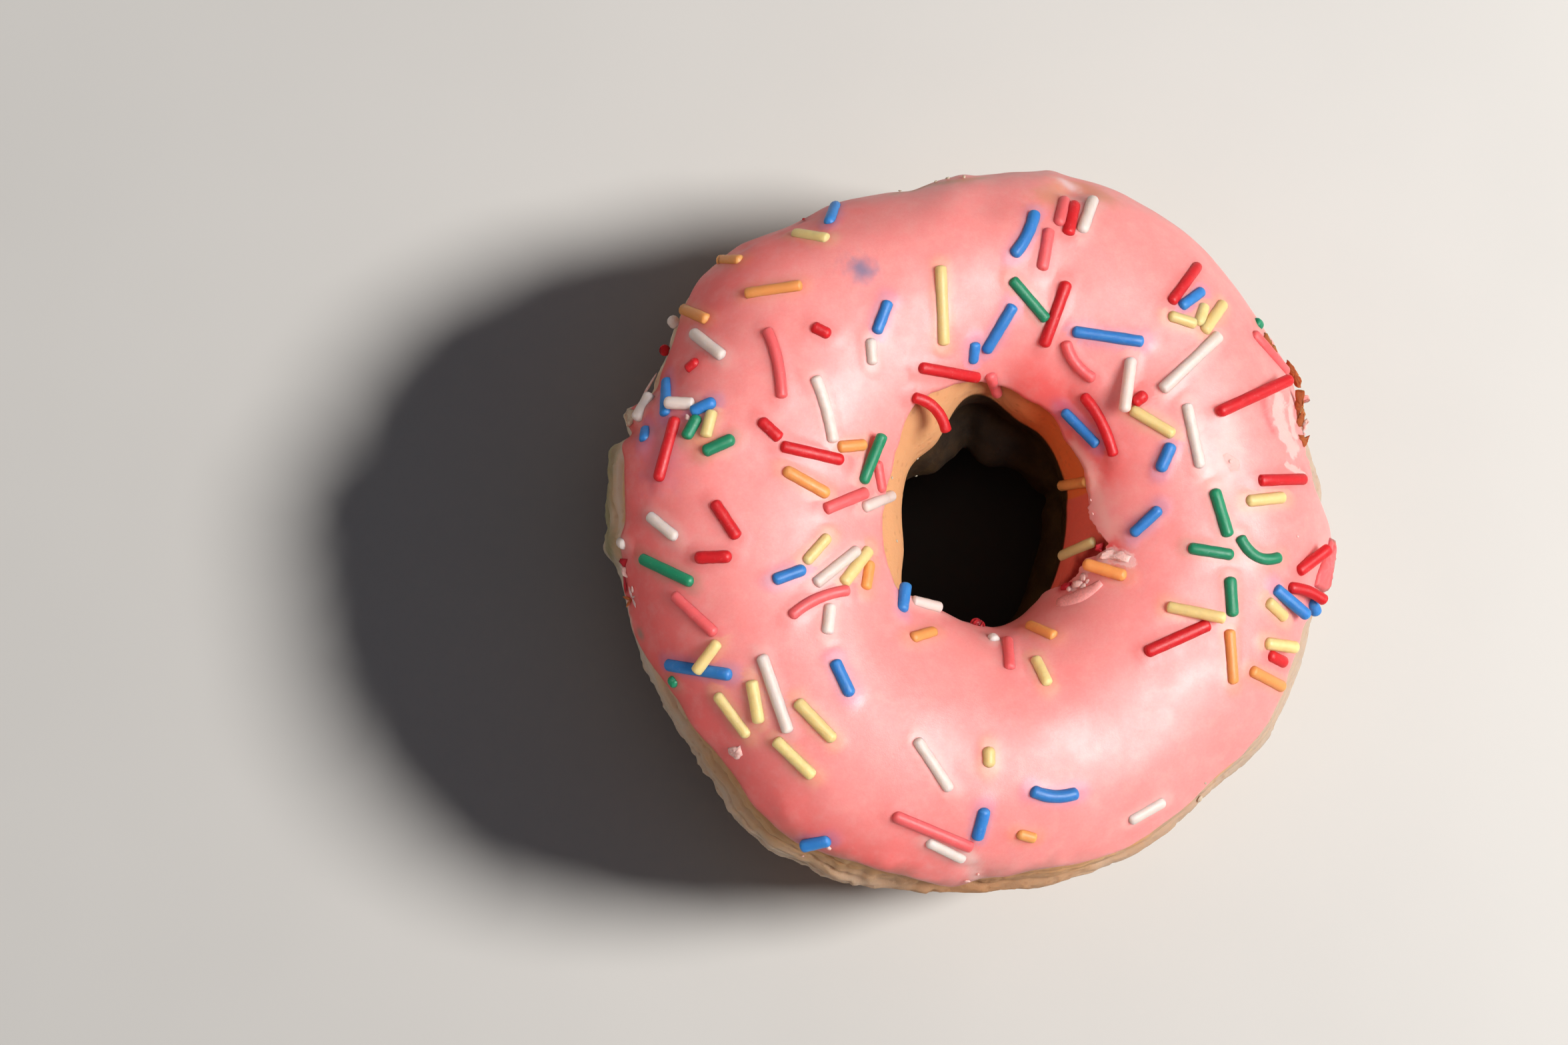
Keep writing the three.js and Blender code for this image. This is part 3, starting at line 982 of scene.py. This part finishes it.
def sweep(path, normal, stations, sides, flatten):
    # a closed stick along a path: its points and faces
    # each station is a distance along the path and a radius there
    lengths = np.concatenate([[0], np.cumsum(np.linalg.norm(np.diff(path, axis=0), axis=1))])

    def placeAt(distance):
        return np.array([np.interp(distance, lengths, path[:, axis]) for axis in range(3)])

    points = []
    for distance, radius in stations:
        along = unit(placeAt(min(distance + 0.4, lengths[-1])) - placeAt(max(distance - 0.4, 0)))
        side = unit(np.cross(along, normal))
        top = np.cross(side, along) * flatten
        for angle in np.arange(sides) * 2 * math.pi / sides:
            points.append(placeAt(distance) + radius * (side * math.cos(angle) + top * math.sin(angle)))
    faces = []
    for here in range(0, (len(stations) - 1) * sides, sides):
        for step in range(sides):
            after = (step + 1) % sides
            faces.append([here + step, here + after, here + sides + after, here + sides + step])
    faces.append(list(reversed(range(sides))))
    faces.append([(len(stations) - 1) * sides + step for step in range(sides)])
    return points, faces


def sprinkleShell(path, normal, radius, flatten):
    length = pathLength(path)
    if length < 2.05 * radius:
        # so short that it is nearly a ball
        middle = path.mean(axis=0)
        length = 2.1 * radius
        reach = unit(path[-1] - path[0]) * length / 2
        path = np.array([middle - reach, middle, middle + reach])
    endRound = [0.0, 0.04, 0.16, 0.36, 0.65, 1.0]
    widths = [radius * max(math.sqrt(1 - (1 - t) ** 2), 0.03) for t in endRound]
    capStart, capEnd = [draw.uniform(*sprinkleLook["endDepth"]) * radius for _ in range(2)]
    stations = [(capStart * t, width) for t, width in zip(endRound, widths)]
    for place in np.linspace(capStart, length - capEnd, 9)[1:-1]:
        stations.append((place, radius * draw.uniform(*sprinkleLook["waver"])))
    stations += [(length - capEnd * t, width) for t, width in zip(endRound[::-1], widths[::-1])]
    return sweep(path, normal, stations, sprinkleLook["sides"], flatten)


def sprinkleMaterial(name, colour):
    finish = Finish(name)
    pale = tuple(min(1, 0.75 * part + 0.25) for part in colour)
    dark = tuple(0.86 * part for part in colour)
    body = finish.blend(finish.mask("tone"), dark, colour)
    body = finish.blend(finish.ramp(finish.grain(1.1, detail=3), 0.4, 0.65, 0.0, 0.6), body, dark)
    chalk = finish.grain(0.5, detail=4, roughness=0.7)
    body = finish.blend(finish.ramp(chalk, 0.55, 0.8, 0.0, 0.35), body, pale)
    grit = finish.grain(0.4, detail=4, roughness=0.7)
    return finish.surface({
        "Base Color": body,
        "Roughness": finish.ramp(chalk, 0.3, 0.7, 0.36, 0.55),
        "Normal": finish.bump(grit, 0.45, 0.08),
        "Subsurface Weight": 0.8,
        "Subsurface Radius": (1.0, 0.8, 0.6),
        "Subsurface Scale": 0.0024,
        "Specular IOR Level": 0.35,
    })


flakeLook = {
    "outlineStep": 4,                  # of its outline in the image
    "outlineWander": 1.2,              # for each unit of raggedness
    "layers": (1.0, 0.8, 0.4, 0.0),    # from its rim to its middle
    "heights": (0.5, 0.65, 0.65),      # of each layer but the rim, as a share of its thickness
    "bumps": 0.6,
    "lift": 0.1,
    "rimLift": 0.04,
}


def raggedOutline(outline, wander):
    places = []
    for (x0, y0), (x1, y1) in zip(outline, outline[1:] + outline[:1]):
        steps = max(1, round(math.hypot(x1 - x0, y1 - y0) / flakeLook["outlineStep"]))
        for share in np.arange(steps) / steps:
            wanderX, wanderY = [draw.uniform(-wander, wander) for _ in range(2)]
            places.append((x0 + (x1 - x0) * share + wanderX, y0 + (y1 - y0) * share + wanderY))
    return np.array(places)


def flakeLayers(rim, drop):
    # places of a flake from its rim to its middle, and the way it faces there
    # where the surface falls away by more than its drop, it stands off
    middle = rim.mean(axis=0)
    found = []
    for share in flakeLook["layers"]:
        places = middle + (rim - middle) * share if share else middle[None, :]
        found.append((places, *surfaceAt(places)))
    lowest = max((path @ backward).max() for _, path, _ in found) - drop
    layers = []
    for places, path, ways in found:
        raised = np.outer(np.maximum(0, lowest - path @ backward), backward)
        layers.append((asSeen(path + raised, places), unit(ways + raised)))
    return layers


def flakeShell(outline, look):
    # a thin flake that follows the surface, with its outline at the given places of the image
    raggedness, thickness = look["raggedness"], look["thickness"]
    layers = flakeLayers(raggedOutline(outline, raggedness * flakeLook["outlineWander"]), look["drop"])
    (rim, rimWays), (middle, middleWays) = layers[0], layers[-1]
    count = len(rim)
    points = list(rim + rimWays * flakeLook["rimLift"])
    faces = []
    turnedRight = np.cross(rim - middle, np.roll(rim, -1, axis=0) - middle)
    outward = turnedRight.sum(axis=0) @ middleWays[0] > 0
    for side in (1, -1):
        start = len(points)
        for (places, ways), height in zip(layers[1:], flakeLook["heights"]):
            for place, way in zip(places, ways):
                bump = 1 + flakeLook["bumps"] * raggedness * draw.uniform(-1, 1)
                off = flakeLook["lift"] + thickness * height * bump if side == 1 else -thickness
                points.append(place + way * off)
        rings = [[first + step for step in range(count)] for first in (0, start, start + count)]
        sheet = []
        for outer, inner in zip(rings, rings[1:]):
            sheet += [list(quad) for quad in zip(outer, outer[1:] + outer[:1], inner[1:] + inner[:1], inner)]
        sheet += [[a, b, start + 2 * count] for a, b in zip(rings[2], rings[2][1:] + rings[2][:1])]
        faces += sheet if (side == 1) == outward else [face[::-1] for face in sheet]
    return points, faces


def layDown():
    # every sprinkle's path and shell, those that lie across others last
    look = sprinkleLook
    laid = [(name, ends, manner) for manner in ("laid", "sunk", "reaching", "tipping", "over")
            for name, value in sprinkleColours.items() for ends in value.get(manner, [])]
    shells = {name: [] for name in sprinkleColours}
    paths = []
    for name, ends, manner in laid:
        if manner == "reaching":
            path, normal = reachingPath(ends, 0, look["lean"])
        elif manner == "tipping":
            path, normal = reachingPath(ends, look["steps"] // 3, 0)
        else:
            path, normal = sprinklePath(ends, look["sunkSeat"] if manner == "sunk" else look["seat"])
        if manner == "over":
            path = propUp(path, normal, np.concatenate([earlier for _, earlier in paths]))
        paths.append((name, path))
        radius = look["radius"] * draw.uniform(*look["sizes"])
        shells[name].append(sprinkleShell(path, normal, radius, draw.uniform(*look["flatness"])))
    shells[look["pressedColour"]].append(flakeShell(look["pressed"], look["pressedLook"]))
    return shells, paths


def joined(shells):
    points, faces = [], []
    for shellPoints, shellFaces in shells:
        start = len(points)
        points += list(shellPoints)
        faces += [[start + index for index in face] for face in shellFaces]
    return points, faces


def makeSprinkles():
    shells, paths = layDown()
    for name, value in sprinkleColours.items():
        points, faces = joined(shells[name])
        tones = [tone for shell in shells[name] for tone in [draw.random()] * len(shell[0])]
        finish = sprinkleMaterial(name + "Sugar", value["colour"])
        piece = makeMesh(name + "Sprinkles", points, faces, finish, {"tone": tones})
        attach(piece, "root")
        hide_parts("icing")
        print(name, "sprinkles:", len(shells[name]))
    return paths


sprinklePaths = makeSprinkles()


# Marks on the icing and the dough: their colour, strength, reach in mm, and the places of the image
# that they lie along. A scrape has only a reach and its places.
icingMarks = {
    "blueSmudge": ((0.13, 0.19, 0.33), 0.8, 1.3, [(1289, 401), (1294, 406)]),
    # lilac round the blue sprinkles on the left: partly their dye, partly painted bluish shade
    "lilacHaze": ((0.5, 0.22, 0.4), 0.25, 3.0, [(1003, 640), (988, 700)]),
    "orangeHaze": ((0.85, 0.25, 0.08), 0.4, 1.6, [(1040, 655), (1058, 668)]),
    "greySpot": ((0.22, 0.25, 0.18), 0.7, 0.9, [(961, 952)]),
    "thinTop": ((0.72, 0.26, 0.145), 0.8, 1.9, [(1572, 294), (1598, 276), (1625, 280), (1654, 295)]),
    "lilacTop": ((0.93, 0.58, 0.58), 0.85, 1.0, [(1596, 272), (1606, 280)]),
    "thinUpperLeft": ((0.55, 0.25, 0.13), 0.65, 0.9, [(1345, 290), (1400, 276), (1470, 267)]),
    "nick": ((0.4, 0.03, 0.04), 0.8, 0.8, [(1203, 333), (1209, 325)]),
    "redStreak": ((0.36, 0.01, 0.02), 0.9, 0.6, [(932, 842), (935, 862), (940, 884)]),
    "paleStreaks": ((0.95, 0.5, 0.45), 0.45, 2.0, [(1845, 640), (1838, 690), (1825, 720)]),
    "deepStreak": ((0.8, 0.1, 0.11), 0.65, 0.55, [(1894, 604), (1899, 622), (1909, 646)]),
    "paleLip": ((0.95, 0.47, 0.42), 0.6, 1.2, [(1612, 672), (1636, 705), (1647, 740), (1655, 775),
                                               (1675, 812)]),
    # the tear's recesses: deep red, with painted recess shade
    "redTear": ((0.82, 0.055, 0.055), 0.95, 1.1, [(1648, 812), (1660, 817), (1674, 824)]),
    "redTearLow": ((0.62, 0.02, 0.03), 0.9, 0.8, [(1592, 882), (1604, 880)]),
    "crack": ((0.94, 0.58, 0.53), 0.6, 0.9, [(1455, 1280), (1460, 1300), (1462, 1316)]),
    "paleBorder": ((0.8, 0.6, 0.5), 0.7, 0.45, [(941, 905), (945, 930), (952, 955), (964, 980)]),
}
icingScrapes = {
    "rightEdge": (1.5, [(1920, 600), (1919, 625), (1927, 650), (1940, 674)]),
    "rightRim": (0.8, [(1938, 596), (1936, 620), (1941, 650)]),
    "flakeSpot": (0.7, [(1843, 688), (1850, 700)]),
    "rightLow": (0.6, [(1932, 698), (1954, 712)]),
    "tearFace": (1.25, [(1656, 831), (1672, 834), (1691, 841)]),
    "tearRim": (0.55, [(1632, 856), (1622, 870), (1610, 882)]),
}
doughMarks = {
    # deep red along the tear: icing colour with painted shade in its recess
    "tearRecessShade": ((0.22, 0.004, 0.006), 0.97, 1.2, [(1650, 818), (1638, 828), (1622, 846), (1610, 864),
                                                (1598, 880)]),
    "rightCrust": ((0.4, 0.12, 0.03), 0.9, 1.2, [(1936, 560), (1944, 600), (1948, 640), (1952, 665)]),
    # painted shade: dark olive along the outermost left side, which faces away from the light
    "leftEdgeShade": ((0.27, 0.24, 0.12), 0.85, 1.7, [(914, 672), (910, 700), (909, 750), (911, 800),
                                                  (914, 830)]),
    "paleSide": ((0.7, 0.54, 0.43), 0.8, 0.9, [(936, 672), (929, 700), (928, 750), (932, 800), (936, 825)]),
    "paleLump": ((0.8, 0.7, 0.55), 0.7, 1.2, [(940, 618), (944, 634)]),
    "orangeEdge": ((0.72, 0.33, 0.13), 0.75, 0.9, [(1560, 1301), (1640, 1286), (1700, 1265), (1760, 1222),
                                                   (1820, 1168), (1845, 1148)]),
}
bleedLook = {"reach": 0.75, "strength": 0.2, "meniscusReach": 0.7}


def nearness(points, along, reach, tree):
    line = []
    for (x0, y0), (x1, y1) in zip(along, along[1:] + along[-1:]):
        steps = max(1, int(math.hypot(x1 - x0, y1 - y0) / 6))
        for step in range(steps):
            place, _, _ = firstHit(tree, x0 + (x1 - x0) * step / steps, y0 + (y1 - y0) * step / steps)
            line.append(place)
    distance = np.min([np.linalg.norm(points - place, axis=1) for place in line], axis=0)
    return fade(distance * (1 + 0.5 * roughness(points, 1.2, 3)), reach)


def overlay(stain, colour, share):
    # one colour with its share laid over what is there
    kept = stain[:, 3] * (1 - share)
    total = share + kept
    mixed = np.asarray(colour) * share[:, None] + stain[:, :3] * kept[:, None]
    stain[:, :3] = mixed / np.maximum(total, 1e-6)[:, None]
    stain[:, 3] = total


def meshPoints(piece):
    flat = np.empty(len(piece.data.vertices) * 3, dtype=np.float32)
    piece.data.vertices.foreach_get("co", flat)
    return flat.reshape(-1, 3) / metresPerMm


def layMarks(piece, points, stain, marks, tree):
    for colour, strength, reach, along in marks.values():
        overlay(stain, colour, nearness(points, along, reach, tree) * strength)
    addField(piece, "stain", "FLOAT_COLOR", "color", stain)


def markDough():
    points = meshPoints(dough)
    layMarks(dough, points, np.zeros((len(points), 4)), doughMarks, bareDough)


def bleedColours(points, stain):
    # a little of each sprinkle's colour in the icing round it: partly its dye, partly painted bounce light
    # and contact shade
    tree = KDTree(sum(len(path) for _, path in sprinklePaths))
    names = []
    for name, path in sprinklePaths:
        for place in path:
            tree.insert(place, len(names))
            names.append(name)
    tree.balance()
    found = [tree.find(place) for place in points]
    distance = np.array([hit[2] for hit in found]) - sprinkleLook["radius"]
    colours = np.array([sprinkleColours[names[hit[1]]]["colour"] for hit in found])
    reach = bleedLook["reach"] * (1 + 0.5 * roughness(points, 2.5, 2))
    share = bleedLook["strength"] * fade(np.maximum(distance, 0), reach)
    overlay(stain, colours, share)
    return distance


def markIcing():
    points = meshPoints(icing)
    stain = np.zeros((len(points), 4))
    apart = bleedColours(points, stain)
    # the icing draws up a little against each sprinkle
    drawnUp = icingLook["meniscus"] * fade(np.maximum(apart, 0), bleedLook["meniscusReach"])
    normals = np.array([vertex.normal[:] for vertex in icing.data.vertices])
    moved = (points + normals * drawnUp[:, None]) * metresPerMm
    icing.data.vertices.foreach_set("co", moved.astype(np.float32).ravel())
    layMarks(icing, points, stain, icingMarks, iced)
    scrapes = [nearness(points, along, reach, iced) for reach, along in icingScrapes.values()]
    addField(icing, "scrape", "FLOAT", "value", np.max(scrapes, axis=0))


markDough()
markIcing()
print("marks laid")


# Crumbs are a place of the image, length and width in mm, and how far each stands off the
# surface. Flakes are outlines in the image, which stand off where the surface falls away by more
# than their drop. Blades run from one place to another and lift off, and rolls lie flat.
bitsLook = {
    "paleIcing": {
        "colour": (0.96, 0.52, 0.46), "thickness": 0.4, "raggedness": 1.0, "drop": 1.4,
        "crumbs": [
            (950, 884, 0.9, 0.5, 0.1), (1244, 1269, 0.8, 0.6, 0.3), (1034, 628, 0.9, 0.6, 0.4),
            (1625, 866, 1.2, 0.8, 0.0), (1617, 877, 1.4, 1.1, 0.0), (1604, 884, 1.0, 0.7, 0.0),
            (1625, 880, 1.0, 0.8, 0.0), (1631, 872, 0.7, 0.5, 0.0), (1640, 771, 0.4, 0.25, 0.1),
            (1637, 750, 0.35, 0.2, 0.1), (1957, 721, 0.5, 0.4, 0.2), (1946, 805, 0.35, 0.3, 0.0),
            (1451, 1321, 0.8, 0.4, 0.1), (1467, 1311, 0.5, 0.3, 0.1), (1205, 1283, 0.4, 0.3, 0.1),
            (1845, 692, 0.5, 0.35, 0.0),
        ],
        "flakes": [
            [(1655, 827), (1669, 824), (1685, 829), (1698, 835), (1692, 845), (1668, 840), (1646, 838)],
            [(1091, 1122), (1110, 1119), (1114, 1132), (1108, 1141), (1097, 1134)],
            [(1947, 709), (1959, 714), (1957, 721), (1951, 716)],
            [(1954, 635), (1960, 628), (1960, 643), (1954, 651)],
            [(934, 846), (938, 850), (941, 868), (937, 864)],
        ],
        "blades": [
            ((948, 897), (946, 879)), ((948, 897), (961, 892)), ((949, 898), (957, 912)),
            ((985, 560), (962, 604)),
        ],
    },
    "pinkIcing": {
        "colour": (0.94, 0.35, 0.32), "thickness": 0.6, "raggedness": 0.3, "drop": 1.4,
        "crumbs": [(1958, 651, 0.6, 0.4, 0.0), (1953, 636, 0.6, 0.4, 0.0)],
        "flakes": [
            [(1949, 594), (1961, 593), (1962, 604), (1951, 605)],
        ],
        "rolls": [(1586, 904, 1620, 894, 1652, 874)],
    },
    "redIcing": {
        "colour": (0.56, 0.022, 0.035), "thickness": 0.4, "raggedness": 0.6, "drop": 1.2,
        "crumbs": [(1206, 330, 0.7, 0.4, 0.1)],
        "flakes": [
            [(1644, 817), (1656, 814), (1654, 829), (1643, 827)],
            [(1592, 879), (1608, 873), (1604, 885), (1592, 886)],
            [(929, 838), (942, 838), (938, 851), (932, 846)],
        ],
        "blades": [((936, 864), (941, 892))],
    },
    "doughCrumb": {
        "colour": (0.62, 0.47, 0.34), "thickness": 0.5, "raggedness": 1.0, "drop": 1.4,
        "crumbs": [
            (1376, 716, 0.5, 0.35, 0.0), (1338, 717, 0.4, 0.3, 0.0), (1376, 688, 0.4, 0.3, 0.0),
            (1345, 812, 0.45, 0.3, 0.0), (1808, 1175, 0.5, 0.3, 0.0), (1799, 1198, 0.9, 0.6, 0.1),
            (1404, 274, 0.9, 0.4, 0.1), (1422, 270, 0.8, 0.45, 0.2), (1446, 268, 0.9, 0.4, 0.2),
            (1350, 288, 0.7, 0.4, 0.1),
        ],
        "flakes": [
            [(935, 622), (946, 613), (953, 617), (950, 636), (942, 642)],
        ],
    },
    "crust": {
        "colour": (0.36, 0.085, 0.022), "thickness": 0.35, "raggedness": 1.4, "drop": 1.5,
        "flakes": [
            [(1897, 500), (1904, 511), (1908, 521), (1917, 527), (1911, 530), (1902, 518), (1895, 507)],
            [(1944, 585), (1956, 585), (1954, 601), (1953, 618), (1957, 630), (1952, 642), (1945, 637),
             (1944, 605)],
            [(1948, 652), (1958, 655), (1965, 653), (1961, 664), (1956, 671), (1952, 666)],
            [(1929, 549), (1931, 540), (1938, 545), (1945, 559), (1951, 573), (1951, 583), (1942, 577),
             (1935, 562)],
        ],
        "blades": [((946, 899), (937, 895)), ((947, 899), (942, 911))],
    },
}
crumbLook = {"crags": 0.38, "cragSize": 0.7, "flatness": (0.45, 0.7), "seat": 0.2}
# the span is the part of a half wave that the width of a blade or a roll follows
stripLook = {"flatten": 0.45, "stations": 9, "leastWidth": 0.12, "waver": (0.75, 1.0)}
bladeLook = {"halfWidth": 0.22, "sides": 6, "span": (0.12, 1.0), "lift": 0.35, "steps": 6}
rollLook = {"halfWidth": 0.86, "sides": 14, "span": (0.22, 0.85), "seat": 0.15}


def roundBall():
    shape = bmesh.new()
    bmesh.ops.create_icosphere(shape, subdivisions=2, radius=1)
    points = np.array([vertex.co[:] for vertex in shape.verts])
    faces = [[vertex.index for vertex in face.verts] for face in shape.faces]
    shape.free()
    return points, faces


def craggyBit(place, ball):
    x, y, length, width, lift = place
    points, faces = ball
    centre, normal, _ = firstHit(iced, x, y)
    spin = draw.uniform(0, math.pi)
    along = unit(np.cross(normal, (math.cos(spin), math.sin(spin), 0.3)))
    crags = roughness(points + draw.uniform(0, 50), crumbLook["cragSize"], 2) * crumbLook["crags"]
    height = width * draw.uniform(*crumbLook["flatness"])
    shaped = points * (1 + crags)[:, None] * (length / 2, width / 2, height / 2)
    centre = centre + normal * (lift + height * crumbLook["seat"])
    return centre + shaped @ np.array([along, np.cross(normal, along), normal]), faces


def bitsMaterial(name, colour):
    finish = Finish(name)
    dark = tuple(0.82 * part for part in colour)
    rough = finish.grain(0.3, detail=4, roughness=0.7)
    return finish.surface({
        "Base Color": finish.blend(finish.ramp(rough, 0.35, 0.65), dark, colour),
        "Roughness": finish.ramp(rough, 0.3, 0.7, 0.65, 0.9),
        "Normal": finish.bump(rough, 0.6, 0.1),
        "Subsurface Weight": 0.5,
        "Subsurface Radius": (1.0, 0.5, 0.4),
        "Subsurface Scale": 0.0015,
        "Specular IOR Level": 0.2,
    })


def tapered(path, facing, look):
    # a closed strip along a path, widest in the middle
    count = stripLook["stations"]
    waver = np.array([draw.uniform(*stripLook["waver"]) for _ in range(count)])
    widths = stripLook["leastWidth"] + np.sin(np.pi * np.linspace(*look["span"], count)) * waver
    stations = list(zip(np.linspace(0, pathLength(path), count), look["halfWidth"] * widths))
    return sweep(path, facing, stations, look["sides"], stripLook["flatten"])


def bladeShell(ends):
    # a splinter that lifts off towards its far end
    steps = bladeLook["steps"]
    places = np.linspace(ends[0], ends[1], steps)
    point, normal, _ = firstHit(iced, *places[0])
    facing = turnedToView(normal, sprinkleLook["lean"])
    path = onPlane(places, point, facing) + np.outer(np.linspace(0, bladeLook["lift"], steps), facing)
    return tapered(path, facing, bladeLook)


def rollShell(ends):
    return tapered(*sprinklePath(ends, rollLook["seat"]), rollLook)


def makeBits():
    ball = roundBall()
    for name, value in bitsLook.items():
        shells = [craggyBit(place, ball) for place in value.get("crumbs", [])]
        shells += [flakeShell(outline, value) for outline in value.get("flakes", [])]
        shells += [bladeShell(ends) for ends in value.get("blades", [])]
        shells += [rollShell(ends) for ends in value.get("rolls", [])]
        points, faces = joined(shells)
        piece = makeMesh(name + "Bits", points, faces, bitsMaterial(name, value["colour"]))
        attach(piece, "root")
    print("crumbs and flakes made")


makeBits()


roomLook = {
    "floorSize": 3000,
    "floorColour": (0.80, 0.77, 0.74),
    "holeShade": (0.050, 0.050, 0.034),   # the floor in the hole, out of all light
    "holeShadeReach": (15, 20),
    "lightDistance": 1.3,
    # the low light throws the long shadow on the floor, and the others model the doughnut
    "floorLight": {"turn": 4.6, "rise": 34, "size": (0.42, 0.26), "power": 25,
                   "colour": (1.0, 0.985, 0.95)},
    "ringLight": {"turn": -6, "rise": 57, "size": (0.9, 0.6), "power": 24, "colour": (1.0, 1.0, 1.0),
                  "lights": "diffuse"},
    "fillLight": {"turn": 200, "rise": 50, "size": (1.2, 0.9), "power": 4.8, "colour": (1.0, 0.93, 0.90),
                  "lights": "diffuse"},
    "doughFill": {"turn": 176, "rise": 50, "size": (1.2, 0.9), "power": 3.7, "colour": (1.0, 0.93, 0.90),
                  "lights": "diffuse"},
    "sheenLight": {"turn": -8, "rise": 67, "size": (0.75, 0.6), "power": 34, "colour": (1.0, 0.99, 0.98),
                   "lights": "glossy"},
    "skyColour": (0.80, 0.87, 1.0),
    "skyStrength": 0.066,
}


def floorMaterial():
    look = roomLook
    finish = Finish("paleTable")
    clouds = finish.grain(60, detail=3)
    paler = tuple(min(1, 1.03 * part) for part in look["floorColour"])
    colour = finish.blend(finish.ramp(clouds, 0.3, 0.7), look["floorColour"], paler)
    inner, outer = [reach * metresPerMm for reach in look["holeShadeReach"]]
    distance = finish.add("ShaderNodeVectorMath", {"operation": "LENGTH"}, {0: finish.place()},
                          output="Value")
    colour = finish.blend(finish.ramp(distance, inner, outer), look["holeShade"], colour)
    return finish.surface({
        "Base Color": colour,
        "Roughness": 0.6,
        "Normal": finish.bump(finish.grain(0.8, detail=2), 0.05, 0.05),
    })


def makeFloor():
    reach = roomLook["floorSize"] / 2
    corners = [(-reach, -reach, 0), (reach, -reach, 0), (reach, reach, 0), (-reach, reach, 0)]
    floor = makeMesh("tableTop", corners, [[0, 1, 2, 3]], floorMaterial())
    return floor


def lightOn(name, pieces):
    # a soft light that falls on some pieces only
    look = roomLook[name]
    turn, rise = math.radians(look["turn"]), math.radians(look["rise"])
    way = Vector((math.cos(rise) * math.cos(turn), math.cos(rise) * math.sin(turn), math.sin(rise)))
    data = bpy.data.lights.new(name, "AREA")
    data.shape = "ELLIPSE"
    data.size, data.size_y = look["size"]
    data.energy = look["power"]
    data.color = look["colour"]
    light = bpy.data.objects.new(name, data)
    light.location = way * roomLook["lightDistance"]
    light.rotation_euler = way.to_track_quat("Z", "Y").to_euler()
    bpy.context.scene.collection.objects.link(light)
    light.visible_diffuse = look.get("lights") != "glossy"
    light.visible_glossy = look.get("lights") != "diffuse"
    receivers = bpy.data.collections.new(name + "Receivers")
    for piece in pieces:
        receivers.objects.link(piece)
    light.light_linking.receiver_collection = receivers


def makeRoom():
    look = roomLook
    pieces = [piece for piece in bpy.context.scene.objects if piece.type == "MESH"]
    lightOn("floorLight", [makeFloor()])
    lightOn("ringLight", pieces)
    lightOn("fillLight", [piece for piece in pieces if piece is not dough])
    lightOn("doughFill", [dough])
    lightOn("sheenLight", pieces)
    world = bpy.data.worlds.new("softRoom")
    world.use_nodes = True
    sky = world.node_tree.nodes["Background"]
    sky.inputs["Color"].default_value = (*look["skyColour"], 1)
    sky.inputs["Strength"].default_value = look["skyStrength"]
    bpy.context.scene.world = world
    bpy.context.scene.view_settings.view_transform = "Standard"


makeRoom()
print("room made")
